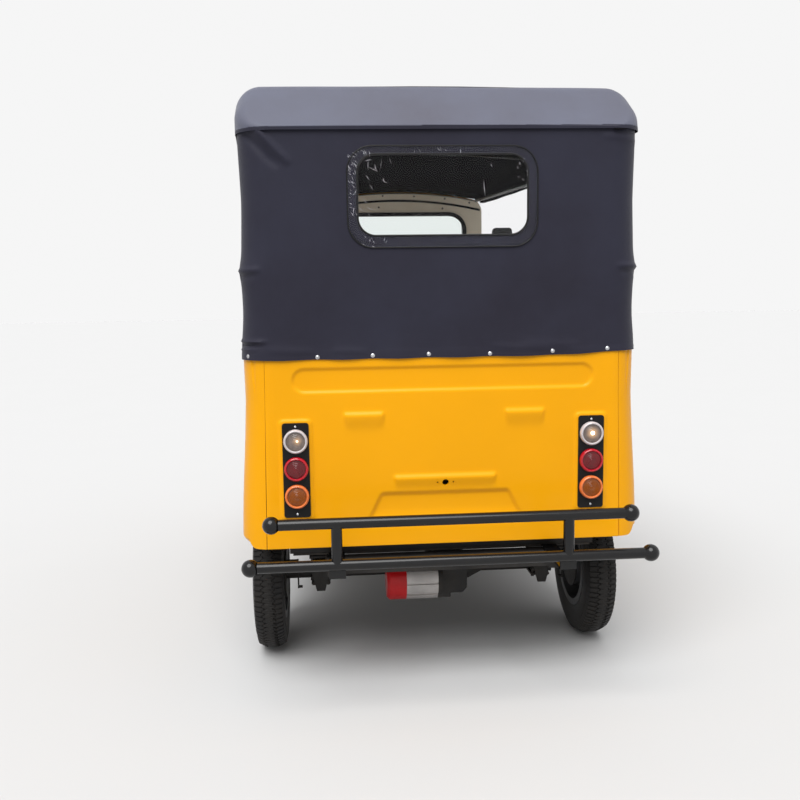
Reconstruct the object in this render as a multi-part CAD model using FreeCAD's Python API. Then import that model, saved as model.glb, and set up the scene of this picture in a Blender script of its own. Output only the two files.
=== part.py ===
import FreeCAD, Part
import math
import os

# Auto rickshaw with a tin body, a canvas canopy and an electric rear axle, in millimetres.
# X is to the right, Y is forward, Z is up, and the ground under the middle of the vehicle is the origin.
# Lengths called "at" or "y" are measured forward from the outer face of the rear panel.

V = FreeCAD.Vector

# Overall layout
axle_setback = 453.0
wheelbase = 1860.0
front_axle_at = axle_setback + wheelbase
fit_gap = 0.3
shaft_gap = 0.5
# How far welded or cast shapes run into each other, and how far a cutter runs past what it cuts
weld_lap = 2.0
cutter_reach = 50.0
# An edge shorter than this is left out of an outline
shortest_edge = 0.001

# Body widths, from which the nose, the roof and the wheels take theirs
half_width_bottom = 627.0
half_width_lean = 23.5
half_width_top = half_width_bottom - half_width_lean
seam_inset = 62.0
seam_lean = 10.0
seam_half_bottom = half_width_bottom - seam_inset
seam_half_top = seam_half_bottom - seam_lean
seam_gap = 0.8
wheel_inset = 45.0
track = 2 * (half_width_bottom - wheel_inset)

# Wheels
tyre_radius = 265.0
tyre_width = 107.0
tyre_shoulder_drop = 14.0
tyre_shoulder_inset = 7.0
rim_radius = 152.0
rim_width = 90.0
rim_wall = 11.0
rim_flange = 12.0
rim_lip_wall = 4.0
bead_lift = 1.0
wheel_disc = 6.0
disc_offset = 8.0
hub_radius = 44.0
hub_inner = 46.0
hub_outer = 22.0
vent_count = 8
vent_radius = 11.0
vent_offset = 8.0
drum_radius = 88.0
drum_width = 40.0

# Body panels
wall = 12.0
body_bottom = 487.5
body_top = 1100.0
corner_radius = 28.0
bottom_corner_radius = 40.0
bottom_corner_length = 110.0
arch_radius = 325.0
sill_front_setback = 463.0
side_front = 900.0
side_top_front = 640.0
side_top_run = 120.0
side_front_radius = 120.0
side_top_radius = 90.0
sill_bottom = 400.0
sill_top = 500.0
sill_front = front_axle_at - sill_front_setback
taper_start = 1000.0
taper_in = 138.0

# Pressed forms of the rear panel
press_depth = 5.0
press_draft = 5.0
press_corner = 1.0
recess_half = seam_half_bottom - 94.0
recess_low = 976.0
recess_high = 1053.5
plate_recess_top = 658.0
plate_recess_half_top = 203.0
plate_recess_half_low = 262.0
plate_recess_low = 545.0
plate_recess_foot_radius = 6.0
plate_recess_head_radius = 14.0
ledge_proud = 8.0
ledge_back = 1.0
ledge_bevel = 4.0
lamp_pad_proud = 5.0
lamp_pad_margin = 10.0
lamp_pad_radius = 12.0
# columns: middle, half width, top, foot
ledges = [(-253.0, 65.0, 912.0, 800.0), (253.0, 65.0, 912.0, 800.0), (0.0, 162.0, 712.0, 668.0)]
lamp_hole_height = 685.0
lamp_hole_radius = 10.0
lamp_screw_spacing = 50.0
lamp_screw_radius = 2.5

# Tail lamps
tail_at = half_width_bottom - 162.0
tail_plate_width = 82.0
tail_plate_low = 589.0
tail_plate_high = 886.0
tail_plate_wall = 4.0
tail_plate_radius = 9.0
tail_lens_radius = 37.5
tail_lens_depth = 16.0
tail_lens_dome = 8.0
tail_lens_rim = 3.0
tail_lens_top = 829.5
tail_lens_pitch = 86.5

# Rear bumper
bumper_back = 183.0
bumper_tube = 16.5
bumper_ball = 26.0
bumper_low = 487.5
bumper_high = 613.6
bumper_half_low = 600.0
bumper_half_high = 535.5
bumper_post_at = 346.6
bracket_width = 50.0
bracket_wall = 8.0
bracket_front = 56.0

# Front bumper
front_bumper_reach = 87.0
front_bumper_half_low = 350.0
front_bumper_half_high = 310.0
front_bumper_low = 640.0
front_bumper_high = 740.0
front_bumper_post_at = 200.0
front_bracket_height = 676.0
front_bracket_width = 40.0

# Chassis
rail_at = 358.0
rail_width = 40.0
rail_low = 385.0
rail_high = 445.0
rail_rear = 16.0
rail_front = sill_front + 100.0
cross_width = 40.0
cross_rise = 8.0
cross_places = (rail_rear + cross_width / 2, 706.0, 1086.0, sill_front - 344.0, rail_front - cross_width / 2)
outrigger_width = 36.0
outrigger_rise = 18.0
outrigger_clear = 8.0
outrigger_places = (778.0, 1268.0, sill_front - 32.0)
neck_radius = 25.0
neck_lift = 80.0
strut_radius = 14.0
strut_lift = 120.0
strut_foot_half = 240.0

# Floor with its toe board and pedal
floor_wall = 6.0
floor_rear = 62.0
floor_inset = 6.0
floor_wheel_gap = 96.0
arch_clear = 8.0
toe_foot = sill_front + 50.0
toe_lean = 60.0
toe_top = 800.0
pedal_at = 180.0
pedal_radius = 6.0
pedal_height = 150.0
pedal_reach = 90.0
pedal_half = 28.0
pedal_pad_height = 46.0
pedal_pad_wall = 8.0
pedal_foot_width = 44.0
pedal_foot_length = 50.0
pedal_foot_height = 24.0

# Rear axle, motor and springs
axle_tube = 25.0
stub_radius = 16.0
stub_reach = 10.0
axle_nut_wall = 6.0
axle_nut_height = 9.0
brake_plate_wall = 4.0
brake_plate_gap = 2.0
brake_plate_lip = 4.0
lever_reach = 46.0
lever_width = 16.0
lever_wall = 5.0
lever_low = 222.0
lever_high = 330.0
lever_back = 60.0
lever_hook = 12.0
lever_foot_round = 3.0
lever_head_round = 7.0
pin_radius = 7.0
motor_at = 300.0
motor_height = 276.0
motor_radius = 74.0
motor_left = -106.0
motor_right = 4.0
motor_grooves = 10
motor_groove_width = 9.0
motor_groove_depth = 5.0
cap_left = -174.0
cap_chamfer = 10.0
gearbox_axle_radius = 82.0
gearbox_width = 102.0
gearbox_half_length = 58.0
gearbox_flange_wall = 16.0
gearbox_neck_radius = 66.0
gearbox_neck_length = 86.0
# Rear view of the gearbox, columns: right of the motor, above the motor's axis, corner radius
gearbox_steps = [(fit_gap, -57.0, 0.0), (44.0, -57.0, 4.0), (44.0, -42.0, 2.0), (86.0, -42.0, 14.0),
                 (gearbox_width, -24.0, 9.0), (gearbox_width, 62.0, 20.0), (fit_gap, 62.0, 0.0)]
# Side view of the casting between motor and axle, columns: share of the way to the axle, height from its axis
link_outline = [(0.0, -60.0), (1.0, -70.0), (1.0, 78.0), (0.0, 66.0)]
saddle_gap = 16.0
saddle_wall = 6.0
saddle_rear = 374.0
saddle_low = 243.0
saddle_plate_half = 34.0
saddle_foot_half = 15.0
saddle_foot = 213.0
saddle_round = 3.0
saddle_bolt_height = 262.0
saddle_bolt_reach = 36.0
saddle_bolt_head = 11.0
saddle_head_wall = 7.0

# Leaf springs, outboard of the rails
spring_at = 405.0
leaf_width = 40.0
leaf_wall = 7.0
leaf_count = 5
leaf_camber = 900.0
leaf_rear = 105.0
leaf_front = 830.0
eye_radius = 15.0
shackle_wall = 6.0
shackle_half = 16.0
shackle_length = 32.0
pin_head = 4.0
spring_bolt_radius = 6.0
spring_bolt_half_spread = 45.0
spring_bolt_foot = 14.0
spring_bolt_head = 26.0
spring_tie_radius = 5.0
spring_plate_half = 55.0
spring_plate_wall = 8.0
hanger_half = 24.0
hanger_wall = 6.0
hanger_gap = 1.0
hanger_drop = 22.0
hanger_round = 16.0

# Steering
rake = 24.0
fork_offset = 45.0
fork_half = 88.0
fork_leg = 24.0
fork_leg_low = -30.0
fork_leg_high = 230.0
fork_tube = 17.0
clamp_low = 325.0
clamp_high = 520.0
clamp_wall = 20.0
clamp_half = 26.0
clamp_round = 22.0
clamp_boss = 28.0
clamp_web = 44.0
tube_above_clamp = 12.0
head_radius = 30.0
head_clear = 6.0
column_radius = 14.0
steerer_radius = 22.0
bar_height = 870.0
bar_rise = 34.0
bar_knee_at = 150.0
bar_knee_sweep = 70.0
bar_clamp_at = 70.0
bar_clamp_rise = 10.0
bar_bend = 26.0
bar_radius = 11.0
bar_half = 350.0
bar_sweep = 140.0
grip_radius = 17.0
grip_length = 125.0
grip_end = 4.0
perch_wall = 6.0
perch_length = 24.0
hand_lever_radius = 4.5
hand_lever_reach = 42.0
hand_lever_bend = 12.0
front_axle_radius = 8.5
front_axle_end = 8.0
guard_gap = 22.0
guard_wall = 3.0
guard_half = 66.0
guard_lip = 26.0
guard_drop_angle = 20.0
guard_bracket_half_width = 25.0
guard_bracket_half_length = 15.0

# Cab nose, columns: height, inset from the body's half width, setback of its foremost point from the front
# axle, front radius, corner radius
nose_table = [
    (400.0, 147.0, 28.0, 1500.0, 140.0),
    (600.0, 127.0, 1.0, 1500.0, 150.0),
    (800.0, 117.0, 51.0, 1600.0, 150.0),
    (1020.0, 127.0, 163.0, 2400.0, 90.0),
]
nose_rows = [(height, half_width_bottom - inset, front_axle_at - setback, front, corner)
             for height, inset, setback, front, corner in nose_table]
nose_wall = 10.0
nose_back = sill_front
cowl_rear = front_axle_at - 243.0
cowl_wall = 8.0
cowl_inset = 1.0
wheel_well_half = 250.0
wheel_well_top = 640.0
wheel_well_corner = 110.0

# Lamps of the nose, columns: x, height, radius, setback of the back and of the front from the front axle
headlamp = (290.0, 800.0, 72.0, 123.0, 37.0)
indicator = (405.0, 700.0, 30.0, 133.0, 31.0)
lamp_bezel = 8.0
lamp_bezel_depth = 12.0
lamp_bowl_depth = 30.0
lamp_bowl_taper = 20.0
lamp_dome = 9.0
indicator_dome = 13.0
indicator_rim = 2.0

# Windscreen, measured in its own leaning plane from its foot
screen_foot_at = front_axle_at - 221.0
screen_foot_height = nose_table[-1][0] + fit_gap
screen_lean = 23.8
screen_half_foot = half_width_bottom - 133.0
screen_half_head = half_width_bottom - 187.0
screen_height = 818.0
screen_crown = 2000.0
screen_corner = 60.0
frame_wall = 18.0
liner_wall = 12.0
glass_half_foot = screen_half_foot - 94.0
glass_half_head = screen_half_head - 78.0
glass_low = 95.0
glass_high = 722.0
glass_corner = 100.0
gasket_width = 20.0
gasket_wall = 38.0
glass_wall = 6.0

# Wiper, measured in the windscreen's plane
wiper_boss_radius = 14.0
wiper_boss_depth = 18.0
wiper_boss_height = 45.0
wiper_arm_radius = 4.0
wiper_arm_depth = 12.0
wiper_arm_end = (-150.0, 330.0)
wiper_blade_radius = 5.0
wiper_blade_depth = 8.0
wiper_blade_ends = ((-235.0, 190.0), (-70.0, 450.0))

# Dashboard
dash_rear = front_axle_at - 303.0
dash_front = screen_foot_at - 6.0
dash_low = 925.0
dash_high = 1010.0
dash_notch_half = 70.0
dash_notch_foot = 50.0
dash_notch_depth = 20.0
dash_notch_radius = 8.0
dash_taper = 42.0
meter_half = 62.0
meter_height = 44.0
meter_rear_gap = 26.0
meter_length = 30.0
meter_radius = 16.0

# Mirrors
mirror_foot_low = 394.0
mirror_foot_high = 426.0
mirror_foot_wall = 9.0
mirror_foot_depth = 20.0
mirror_foot_back = 4.0
mirror_arm_radius = 5.0
mirror_arm_bend = 22.0
mirror_setback = 445.0
mirror_wall = 24.0
mirror_arm_knee_setback = 408.0
mirror_arm_end_setback = 433.0
mirror_arm_knee_height = 1432.0
mirror_arm_end_height = 1500.0
mirror_low = 1455.0
mirror_high = 1605.0
mirror_round = 18.0
mirror_inner = half_width_bottom - 122.0
mirror_outer = half_width_bottom - 2.0
mirror_inner_lean = 7.0
mirror_outer_lean = 13.0
mirror_knee_at = mirror_inner + 20.0
mirror_arm_end_at = mirror_inner + 40.0

# Canopy, columns: place, inset from the body's half width, lower edge, top, crown radius, corner radius
roof_front = screen_foot_at - 270.0
roof_table = [
    (-12.0, 14.0, 1726.0, 1776.0, 40000.0, 42.0),
    (150.0, 6.0, 1726.0, 1930.0, 12000.0, 80.0),
    (610.0, 21.0, 1726.0, 1929.0, 8000.0, 80.0),
    (1075.0, 71.0, 1726.0, 1886.0, 5000.0, 66.0),
    (roof_front, 165.0, 1726.0, 1800.0, 3400.0, 40.0),
]
roof_rows = [(place, half_width_bottom - inset, low, top, crown, corner)
             for place, inset, low, top, crown, corner in roof_table]
canvas = 5.0
hem_height = 1080.0
curtain_top = 1768.0
curtain_front = 640.0
curtain_taper = 2.0
curtain_corner = corner_radius + canvas + fit_gap
curtain_bow = 60000.0
hem_bow = 2000000.0
window_half = 258.0
window_low = 1452.0
window_high = 1689.0
window_corner = 52.0
window_wall = 3.0
window_inset = 1.0
bow_tube = 12.5
ferrule_wall = 1.5
ferrule_length = 24.0
bow_places = (158.0, 610.0, 1075.0)
bow_foot_splay = 16.0
frame_gap = 0.5
rail_tube = 10.5
seat_rail_height = body_top + frame_gap
seat_rail_lift = 14.0
middle_rail_height = 1352.0
side_rail_height = 1738.0
side_rail_inset = 4.0
head_rail_inset = 30.0
head_rail_gap = 1.0

# Seats and battery
seat_box_top = 700.0
seat_box_front = 560.0
seat_box_rear = 64.0
seat_box_clear = 8.0
seat_sheet = 8.0
house_wall = 6.0
house_inset = 34.0
cushion_height = 110.0
cushion_foot_round = 10.0
cushion_round = 20.0
cushion_nose_round = 34.0
bench_half = half_width_bottom - 107.0
bench_rear = 130.0
bench_front = 590.0
bench_back_top = 1290.0
bench_back_wall = 80.0
driver_half = 250.0
driver_rear = sill_front - 740.0
driver_front = sill_front - 410.0
driver_base_inset = 20.0
driver_base_wall = 10.0
driver_base_top = 690.0
driver_post_at = 150.0
driver_post_half = 15.0
driver_post_wall = 12.0
driver_post_foot = 60.0
driver_post_drop = 90.0
driver_cushion_height = 90.0
driver_cushion_rear = 60.0
driver_cushion_overhang = 20.0
driver_back_top = 1180.0
driver_back_wall = 58.0
driver_back_taper = 13.0
driver_back_drop = 30.0
battery_half = 300.0
battery_rear = 120.0
battery_front = 500.0
battery_height = 215.0

# Reach of the bumper's balls behind the rear panel and of the mudguard ahead of the front axle
rear_overhang = bumper_back + bumper_ball
front_reach = tyre_radius + guard_gap + guard_wall
overall_length = rear_overhang + front_axle_at + front_reach
rear_panel_y = rear_overhang - overall_length / 2


def y(distance):
    return rear_panel_y + distance


def box(x0, x1, y0, y1, z0, z1):
    return Part.makeBox(x1 - x0, y1 - y0, z1 - z0, V(x0, y(y0), z0))


def rod(radius, start, end):
    run = end - start
    return Part.makeCylinder(radius, run.Length, start, run)


def at(x, distance, z):
    return V(x, y(distance), z)


def fuse(shapes):
    whole = shapes[0]
    for shape in shapes[1:]:
        whole = whole.fuse(shape)
    return whole.removeSplitter()


def mirrored(shape):
    return shape.mirror(V(0, 0, 0), V(1, 0, 0))


def pair(shape):
    return [shape, mirrored(shape)]


def save(name, shapes):
    solids = [solid for shape in shapes for solid in shape.Solids]
    Part.makeCompound(solids).exportStep("parts/" + name + ".step")
    print(name, len(solids), round(sum(solid.Volume for solid in solids) / 1e6, 2))


def outline(corners, place):
    """Closed wire through corners given as (u, v, radius), with each corner rounded by its radius."""
    count = len(corners)
    starts, ends, middles = [], [], []
    for index, (u, v, radius) in enumerate(corners):
        before = corners[index - 1]
        after = corners[(index + 1) % count]
        here = V(u, v, 0)
        back = (V(before[0], before[1], 0) - here).normalize()
        ahead = (V(after[0], after[1], 0) - here).normalize()
        half = back.getAngle(ahead) / 2
        reach = radius / math.tan(half)
        inward = (back + ahead).normalize()
        starts.append(here + back * reach)
        ends.append(here + ahead * reach)
        middles.append(here + inward * (radius / math.sin(half) - radius))
    edges = []
    for index in range(count):
        if corners[index][2] > 0:
            arc = [place(point.x, point.y) for point in (starts[index], middles[index], ends[index])]
            edges.append(Part.Arc(*arc).toShape())
        start = place(ends[index].x, ends[index].y)
        end = place(starts[(index + 1) % count].x, starts[(index + 1) % count].y)
        if (end - start).Length > shortest_edge:
            edges.append(Part.LineSegment(start, end).toShape())
    return Part.Wire(Part.__sortEdges__(edges))


def prism(corners, place, run):
    return Part.Face(outline(corners, place)).extrude(run)


def rounded_box(half, low, high, radius):
    return [(-half, low, radius), (half, low, radius), (half, high, radius), (-half, high, radius)]


def arch_knee(half, apex, crown, corner):
    """Height at which an arch's straight legs end and its corner arcs begin."""
    return apex - crown + math.sqrt((crown - corner) ** 2 - (half - corner) ** 2)


def arch_edges(half, end_half, end, apex, crown, corner, place):
    """Edges of an arch: two straight legs, two corner arcs and one shallow crown arc, all tangent."""
    knee = arch_knee(half, apex, crown, corner)
    lean = math.asin((half - corner) / (crown - corner))
    side_u = half - corner + corner * math.sin(lean)
    side_v = knee + corner * math.cos(lean)
    turn = (math.pi / 2 + lean) / 2
    mid_u = half - corner + corner * math.sin(turn)
    mid_v = knee + corner * math.cos(turn)
    return [
        Part.LineSegment(place(-end_half, end), place(-half, knee)).toShape(),
        Part.Arc(place(-half, knee), place(-mid_u, mid_v), place(-side_u, side_v)).toShape(),
        Part.Arc(place(-side_u, side_v), place(0, apex), place(side_u, side_v)).toShape(),
        Part.Arc(place(side_u, side_v), place(mid_u, mid_v), place(half, knee)).toShape(),
        Part.LineSegment(place(half, knee), place(end_half, end)).toShape(),
    ]


def arch_wall(half, end_half, end, apex, crown, corner, thickness, place):
    """Closed wire of an arch with a wall thickness inside it."""
    outer = arch_edges(half, end_half, end, apex, crown, corner, place)
    inner = arch_edges(half - thickness, end_half - thickness, end, apex - thickness,
                       crown - thickness, corner - thickness, place)
    feet = [Part.LineSegment(place(side * end_half, end), place(side * (end_half - thickness), end)).toShape()
            for side in (-1, 1)]
    return Part.Wire(Part.__sortEdges__(outer + inner + feet))


def bent_tube(points, radius, bend):
    """Tube along straight runs joined by tangent arcs."""
    edges = []
    last = points[0]
    for index in range(1, len(points) - 1):
        here = points[index]
        back = (points[index - 1] - here).normalize()
        ahead = (points[index + 1] - here).normalize()
        half = back.getAngle(ahead) / 2
        reach = bend / math.tan(half)
        start = here + back * reach
        end = here + ahead * reach
        middle = here + (back + ahead).normalize() * (bend / math.sin(half) - bend)
        edges.append(Part.LineSegment(last, start).toShape())
        edges.append(Part.Arc(start, middle, end).toShape())
        last = end
    edges.append(Part.LineSegment(last, points[-1]).toShape())
    path = Part.Wire(edges)
    ring = Part.Wire(Part.makeCircle(radius, points[0], points[1] - points[0]))
    return path.makePipeShell([ring], True, True)


def revolved(profile, centre, axis=V(1, 0, 0)):
    """Solid around an axis through centre, from (reach, radius) points and arcs given as three points."""
    edges = []
    for piece in profile:
        points = [centre + axis * reach + V(0, 0, radius) for reach, radius in piece]
        if len(points) == 2:
            edges.append(Part.LineSegment(*points).toShape())
        else:
            edges.append(Part.Arc(*points).toShape())
    face = Part.Face(Part.Wire(Part.__sortEdges__(edges)))
    return face.revolve(centre, axis, 360)


def tyre(centre):
    half = tyre_width / 2
    bead = rim_width / 2
    foot = rim_radius + rim_flange + bead_lift
    belly = (rim_radius + tyre_radius) / 2
    shoulder = tyre_radius - tyre_shoulder_drop
    crown_half = half - tyre_shoulder_inset
    return revolved([
        [(-bead, rim_radius), (bead, rim_radius)],
        [(bead, rim_radius), (bead, foot)],
        [(bead, foot), (half, belly), (crown_half, shoulder)],
        [(crown_half, shoulder), (0, tyre_radius), (-crown_half, shoulder)],
        [(-crown_half, shoulder), (-half, belly), (-bead, foot)],
        [(-bead, foot), (-bead, rim_radius)],
    ], centre)


def ring(centre, x0, x1, inner, outer):
    return revolved([
        [(x0, inner), (x1, inner)],
        [(x1, inner), (x1, outer)],
        [(x1, outer), (x0, outer)],
        [(x0, outer), (x0, inner)],
    ], centre)


def wheel_rim(centre, side, bore, drum):
    """Pressed wheel: barrel, two flanges, vented disc and hub; side is the way its outer face looks."""
    seat = rim_radius - fit_gap
    lip = rim_width / 2 + fit_gap
    inner = seat - rim_wall
    barrel = ring(centre, -lip - rim_lip_wall, lip + rim_lip_wall, inner, seat)
    lips = [ring(centre, edge, edge + rim_lip_wall, inner, rim_radius + rim_flange)
            for edge in (-lip - rim_lip_wall, lip)]
    disc_x = side * disc_offset - wheel_disc / 2
    disc = ring(centre, disc_x, disc_x + wheel_disc, hub_radius - weld_lap, inner + weld_lap)
    reach = (hub_radius + inner) / 2 + vent_offset
    for index in range(vent_count):
        angle = 2 * math.pi * index / vent_count
        start = centre + V(disc_x - weld_lap, reach * math.cos(angle), reach * math.sin(angle))
        disc = disc.cut(rod(vent_radius, start, start + V(wheel_disc + 2 * weld_lap, 0, 0)))
    x0, x1 = sorted((-side * hub_inner, side * (hub_outer if drum else hub_inner)))
    hub = ring(centre, x0, x1, bore, hub_radius)
    pieces = [barrel, disc, hub] + lips
    if drum:
        x0, x1 = sorted((-side * hub_inner, -side * (hub_inner - drum_width)))
        pieces.append(ring(centre, x0, x1, hub_radius - weld_lap, drum_radius))
    return fuse(pieces)


def wheels():
    rear_x = track / 2
    rear_bore = stub_radius + shaft_gap
    for name, side in (("left", -1), ("right", 1)):
        centre = at(side * rear_x, axle_setback, tyre_radius)
        save("rear_tyre_" + name, [tyre(centre)])
        save("rear_rim_" + name, [wheel_rim(centre, side, rear_bore, True)])
    centre = at(0, front_axle_at, tyre_radius)
    save("front_tyre", [tyre(centre)])
    save("front_rim", [wheel_rim(centre, 1, front_axle_radius + shaft_gap, False)])


def gearbox():
    """Case between motor and axle: round flange, stepped block, link, differential housing and two necks."""
    centre = at(0, axle_setback, tyre_radius)
    motor_centre = at(0, motor_at, motor_height)
    left = motor_right + fit_gap
    right = motor_right + gearbox_width
    flange_start = motor_centre + V(left, 0, 0)
    flange = rod(motor_radius, flange_start, flange_start + V(gearbox_flange_wall, 0, 0))
    steps = [(motor_right + across, motor_height + lift, radius) for across, lift, radius in gearbox_steps]
    block = prism(steps, lambda u, v: V(u, y(motor_at - gearbox_half_length), v),
                  V(0, 2 * gearbox_half_length, 0))
    sides = [(motor_at + share * (axle_setback - motor_at),
              motor_height + share * (tyre_radius - motor_height) + lift, 0) for share, lift in link_outline]
    link = prism(sides, lambda u, v: V(left, y(u), v), V(gearbox_width - gearbox_flange_wall, 0, 0))
    case = rod(gearbox_axle_radius, centre + V(left, 0, 0), centre + V(right, 0, 0))
    necks = [Part.makeCone(gearbox_neck_radius, axle_tube + fit_gap, gearbox_neck_length,
                           centre + V(start - side * weld_lap, 0, 0), V(side, 0, 0))
             for start, side in ((left, -1), (right, 1))]
    return [flange, block, link, case] + necks


def saddles():
    """Cheeks, plate and cross bolt behind the axle under one spring."""
    seat = tyre_radius + axle_tube
    pieces = []
    for side in (-1, 1):
        x = spring_at + side * saddle_gap
        pieces.append(box(x - saddle_wall / 2, x + saddle_wall / 2, saddle_rear, axle_setback - axle_tube / 2,
                          saddle_low, seat))
        head = V(side * saddle_head_wall, 0, 0)
        end = at(spring_at + side * saddle_bolt_reach, saddle_rear + saddle_bolt_head, saddle_bolt_height)
        pieces.append(rod(saddle_bolt_head, end - head, end))
    start = at(spring_at - saddle_bolt_reach, saddle_rear + saddle_bolt_head, saddle_bolt_height)
    pieces.append(rod(pin_radius, start, start + V(2 * saddle_bolt_reach, 0, 0)))
    plate = [(-saddle_foot_half, saddle_foot, saddle_round), (saddle_foot_half, saddle_foot, saddle_round),
             (saddle_plate_half, seat, saddle_round), (-saddle_plate_half, seat, saddle_round)]
    pieces.append(prism(plate, lambda u, v: V(spring_at + u, y(saddle_rear), v), V(0, saddle_wall, 0)))
    return pieces


def rear_axle():
    """Axle tube with its saddles, gearbox, brake plates with cams and levers, and the wheels' stubs."""
    centre = at(0, axle_setback, tyre_radius)
    plate_x = track / 2 - hub_inner - shaft_gap - brake_plate_gap - brake_plate_wall
    tube = rod(axle_tube, centre - V(plate_x + weld_lap, 0, 0), centre + V(plate_x + weld_lap, 0, 0))
    stub_end = track / 2 + hub_outer + stub_reach
    stub = rod(stub_radius, centre - V(stub_end, 0, 0), centre + V(stub_end, 0, 0))
    plate_start = centre + V(plate_x, 0, 0)
    plate = rod(drum_radius + brake_plate_lip, plate_start, plate_start + V(brake_plate_wall, 0, 0))
    nut_start = centre + V(track / 2 + hub_outer + shaft_gap, 0, 0)
    nut = rod(stub_radius + axle_nut_wall, nut_start, nut_start + V(axle_nut_height, 0, 0))
    lever_x = plate_x - lever_reach
    place = axle_setback - lever_back
    half = lever_width / 2
    lever = [(place - half, lever_low, lever_foot_round), (place + half, lever_low, lever_foot_round),
             (place + half, lever_high, lever_head_round), (place - half, lever_high, lever_head_round)]
    lever = prism(lever, lambda u, v: V(lever_x, y(u), v), V(lever_wall, 0, 0))
    cam = at(lever_x, place, lever_high - half)
    cam = rod(pin_radius, cam, cam + V(lever_reach + weld_lap, 0, 0))
    hook = at(lever_x + lever_wall, place, lever_low + lever_wall)
    hook = rod(lever_wall, hook - V(lever_wall + lever_hook, 0, 0), hook)
    pieces = [tube, stub]
    for piece in [plate, nut, lever, cam, hook] + saddles():
        pieces += pair(piece)
    save("rear_axle", [fuse(pieces + gearbox())])


def motor():
    """Motor housing with cooling grooves along it, and its painted end cap."""
    start = at(motor_left, motor_at, motor_height)
    end = at(motor_right, motor_at, motor_height)
    housing = rod(motor_radius, start, end)
    for index in range(motor_grooves):
        groove = box(motor_left - weld_lap, motor_right + weld_lap, motor_at - motor_groove_width / 2,
                     motor_at + motor_groove_width / 2, motor_height + motor_radius - motor_groove_depth,
                     motor_height + motor_radius + motor_groove_depth)
        groove.rotate(start, V(1, 0, 0), 360.0 * (index + 0.5) / motor_grooves)
        housing = housing.cut(groove)
    save("drive_motor", [housing])
    cap = rod(motor_radius, at(cap_left, motor_at, motor_height), start - V(fit_gap, 0, 0))
    rim = [edge for edge in cap.Edges if abs(edge.BoundBox.XMax - cap_left) < fit_gap]
    rim = [edge for edge in rim if edge.BoundBox.XLength < fit_gap]
    save("motor_end_cap", [cap.makeChamfer(cap_chamfer, rim)])


def leaf(rear, front, radius):
    """One spring leaf from rear to front whose underside has a radius about the camber's centre."""
    centre = at(spring_at, axle_setback, tyre_radius + axle_tube + fit_gap + leaf_camber)
    strip = ring(centre, -leaf_width / 2, leaf_width / 2, radius - leaf_wall, radius)
    return strip.common(box(0, half_width_bottom, rear, front, 0, centre.z))


def eye_height(place):
    """Height of the main leaf's middle at a place."""
    radius = leaf_camber - (leaf_count - 0.5) * leaf_wall
    centre = tyre_radius + axle_tube + fit_gap + leaf_camber
    return centre - math.sqrt(radius ** 2 - (place - axle_setback) ** 2)


def spring_pack():
    """One leaf pack over the axle with its eyes, rear shackle, clamp bolts and the plate under the axle."""
    half = leaf_width / 2
    pieces = []
    for index in range(leaf_count):
        share = (index + 1) / leaf_count
        rear = axle_setback - share * (axle_setback - leaf_rear)
        front = axle_setback + share * (leaf_front - axle_setback)
        pieces.append(leaf(rear, front, leaf_camber - leaf_wall * index))
    for place in (leaf_rear, leaf_front):
        height = eye_height(place)
        start = at(spring_at - half, place, height)
        pieces.append(rod(eye_radius, start, start + V(leaf_width, 0, 0)))
    low = eye_height(leaf_rear)
    high = low + shackle_length
    corner = shackle_half - fit_gap
    pin = rod(pin_radius + fit_gap, at(0, leaf_rear, high), at(half_width_bottom, leaf_rear, high))
    for start in (spring_at - half - hanger_gap / 2 - shackle_wall, spring_at + half + hanger_gap / 2):
        plate = prism([(leaf_rear - shackle_half, low - shackle_half, corner),
                       (leaf_rear + shackle_half, low - shackle_half, corner),
                       (leaf_rear + shackle_half, high + shackle_half, corner),
                       (leaf_rear - shackle_half, high + shackle_half, corner)],
                      lambda u, v: V(start, y(u), v), V(shackle_wall, 0, 0))
        pieces.append(plate.cut(pin))
    reach = half + hanger_gap / 2 + shackle_wall
    start = at(spring_at - reach, leaf_rear, low)
    pieces.append(rod(pin_radius, start, start + V(2 * reach + pin_head, 0, 0)))
    clamp = half + spring_bolt_radius + fit_gap
    bolt_low = tyre_radius - axle_tube - spring_bolt_foot
    bolt_high = tyre_radius + axle_tube + leaf_wall * leaf_count + spring_bolt_head
    tie = axle_setback - spring_bolt_half_spread
    tie = eye_height(tie) + leaf_wall / 2 + spring_tie_radius - fit_gap
    for place in (axle_setback - spring_bolt_half_spread, axle_setback + spring_bolt_half_spread):
        for x in (spring_at - clamp, spring_at + clamp):
            pieces.append(rod(spring_bolt_radius, at(x, place, bolt_low), at(x, place, bolt_high)))
        start = at(spring_at - clamp, place, tie)
        pieces.append(rod(spring_tie_radius, start, start + V(2 * clamp, 0, 0)))
    plate_top = tyre_radius - axle_tube - fit_gap
    plate_half = clamp + spring_plate_wall
    pieces.append(box(spring_at - plate_half, spring_at + plate_half, axle_setback - spring_plate_half,
                      axle_setback + spring_plate_half, plate_top - spring_plate_wall, plate_top))
    return fuse(pieces)


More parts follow.
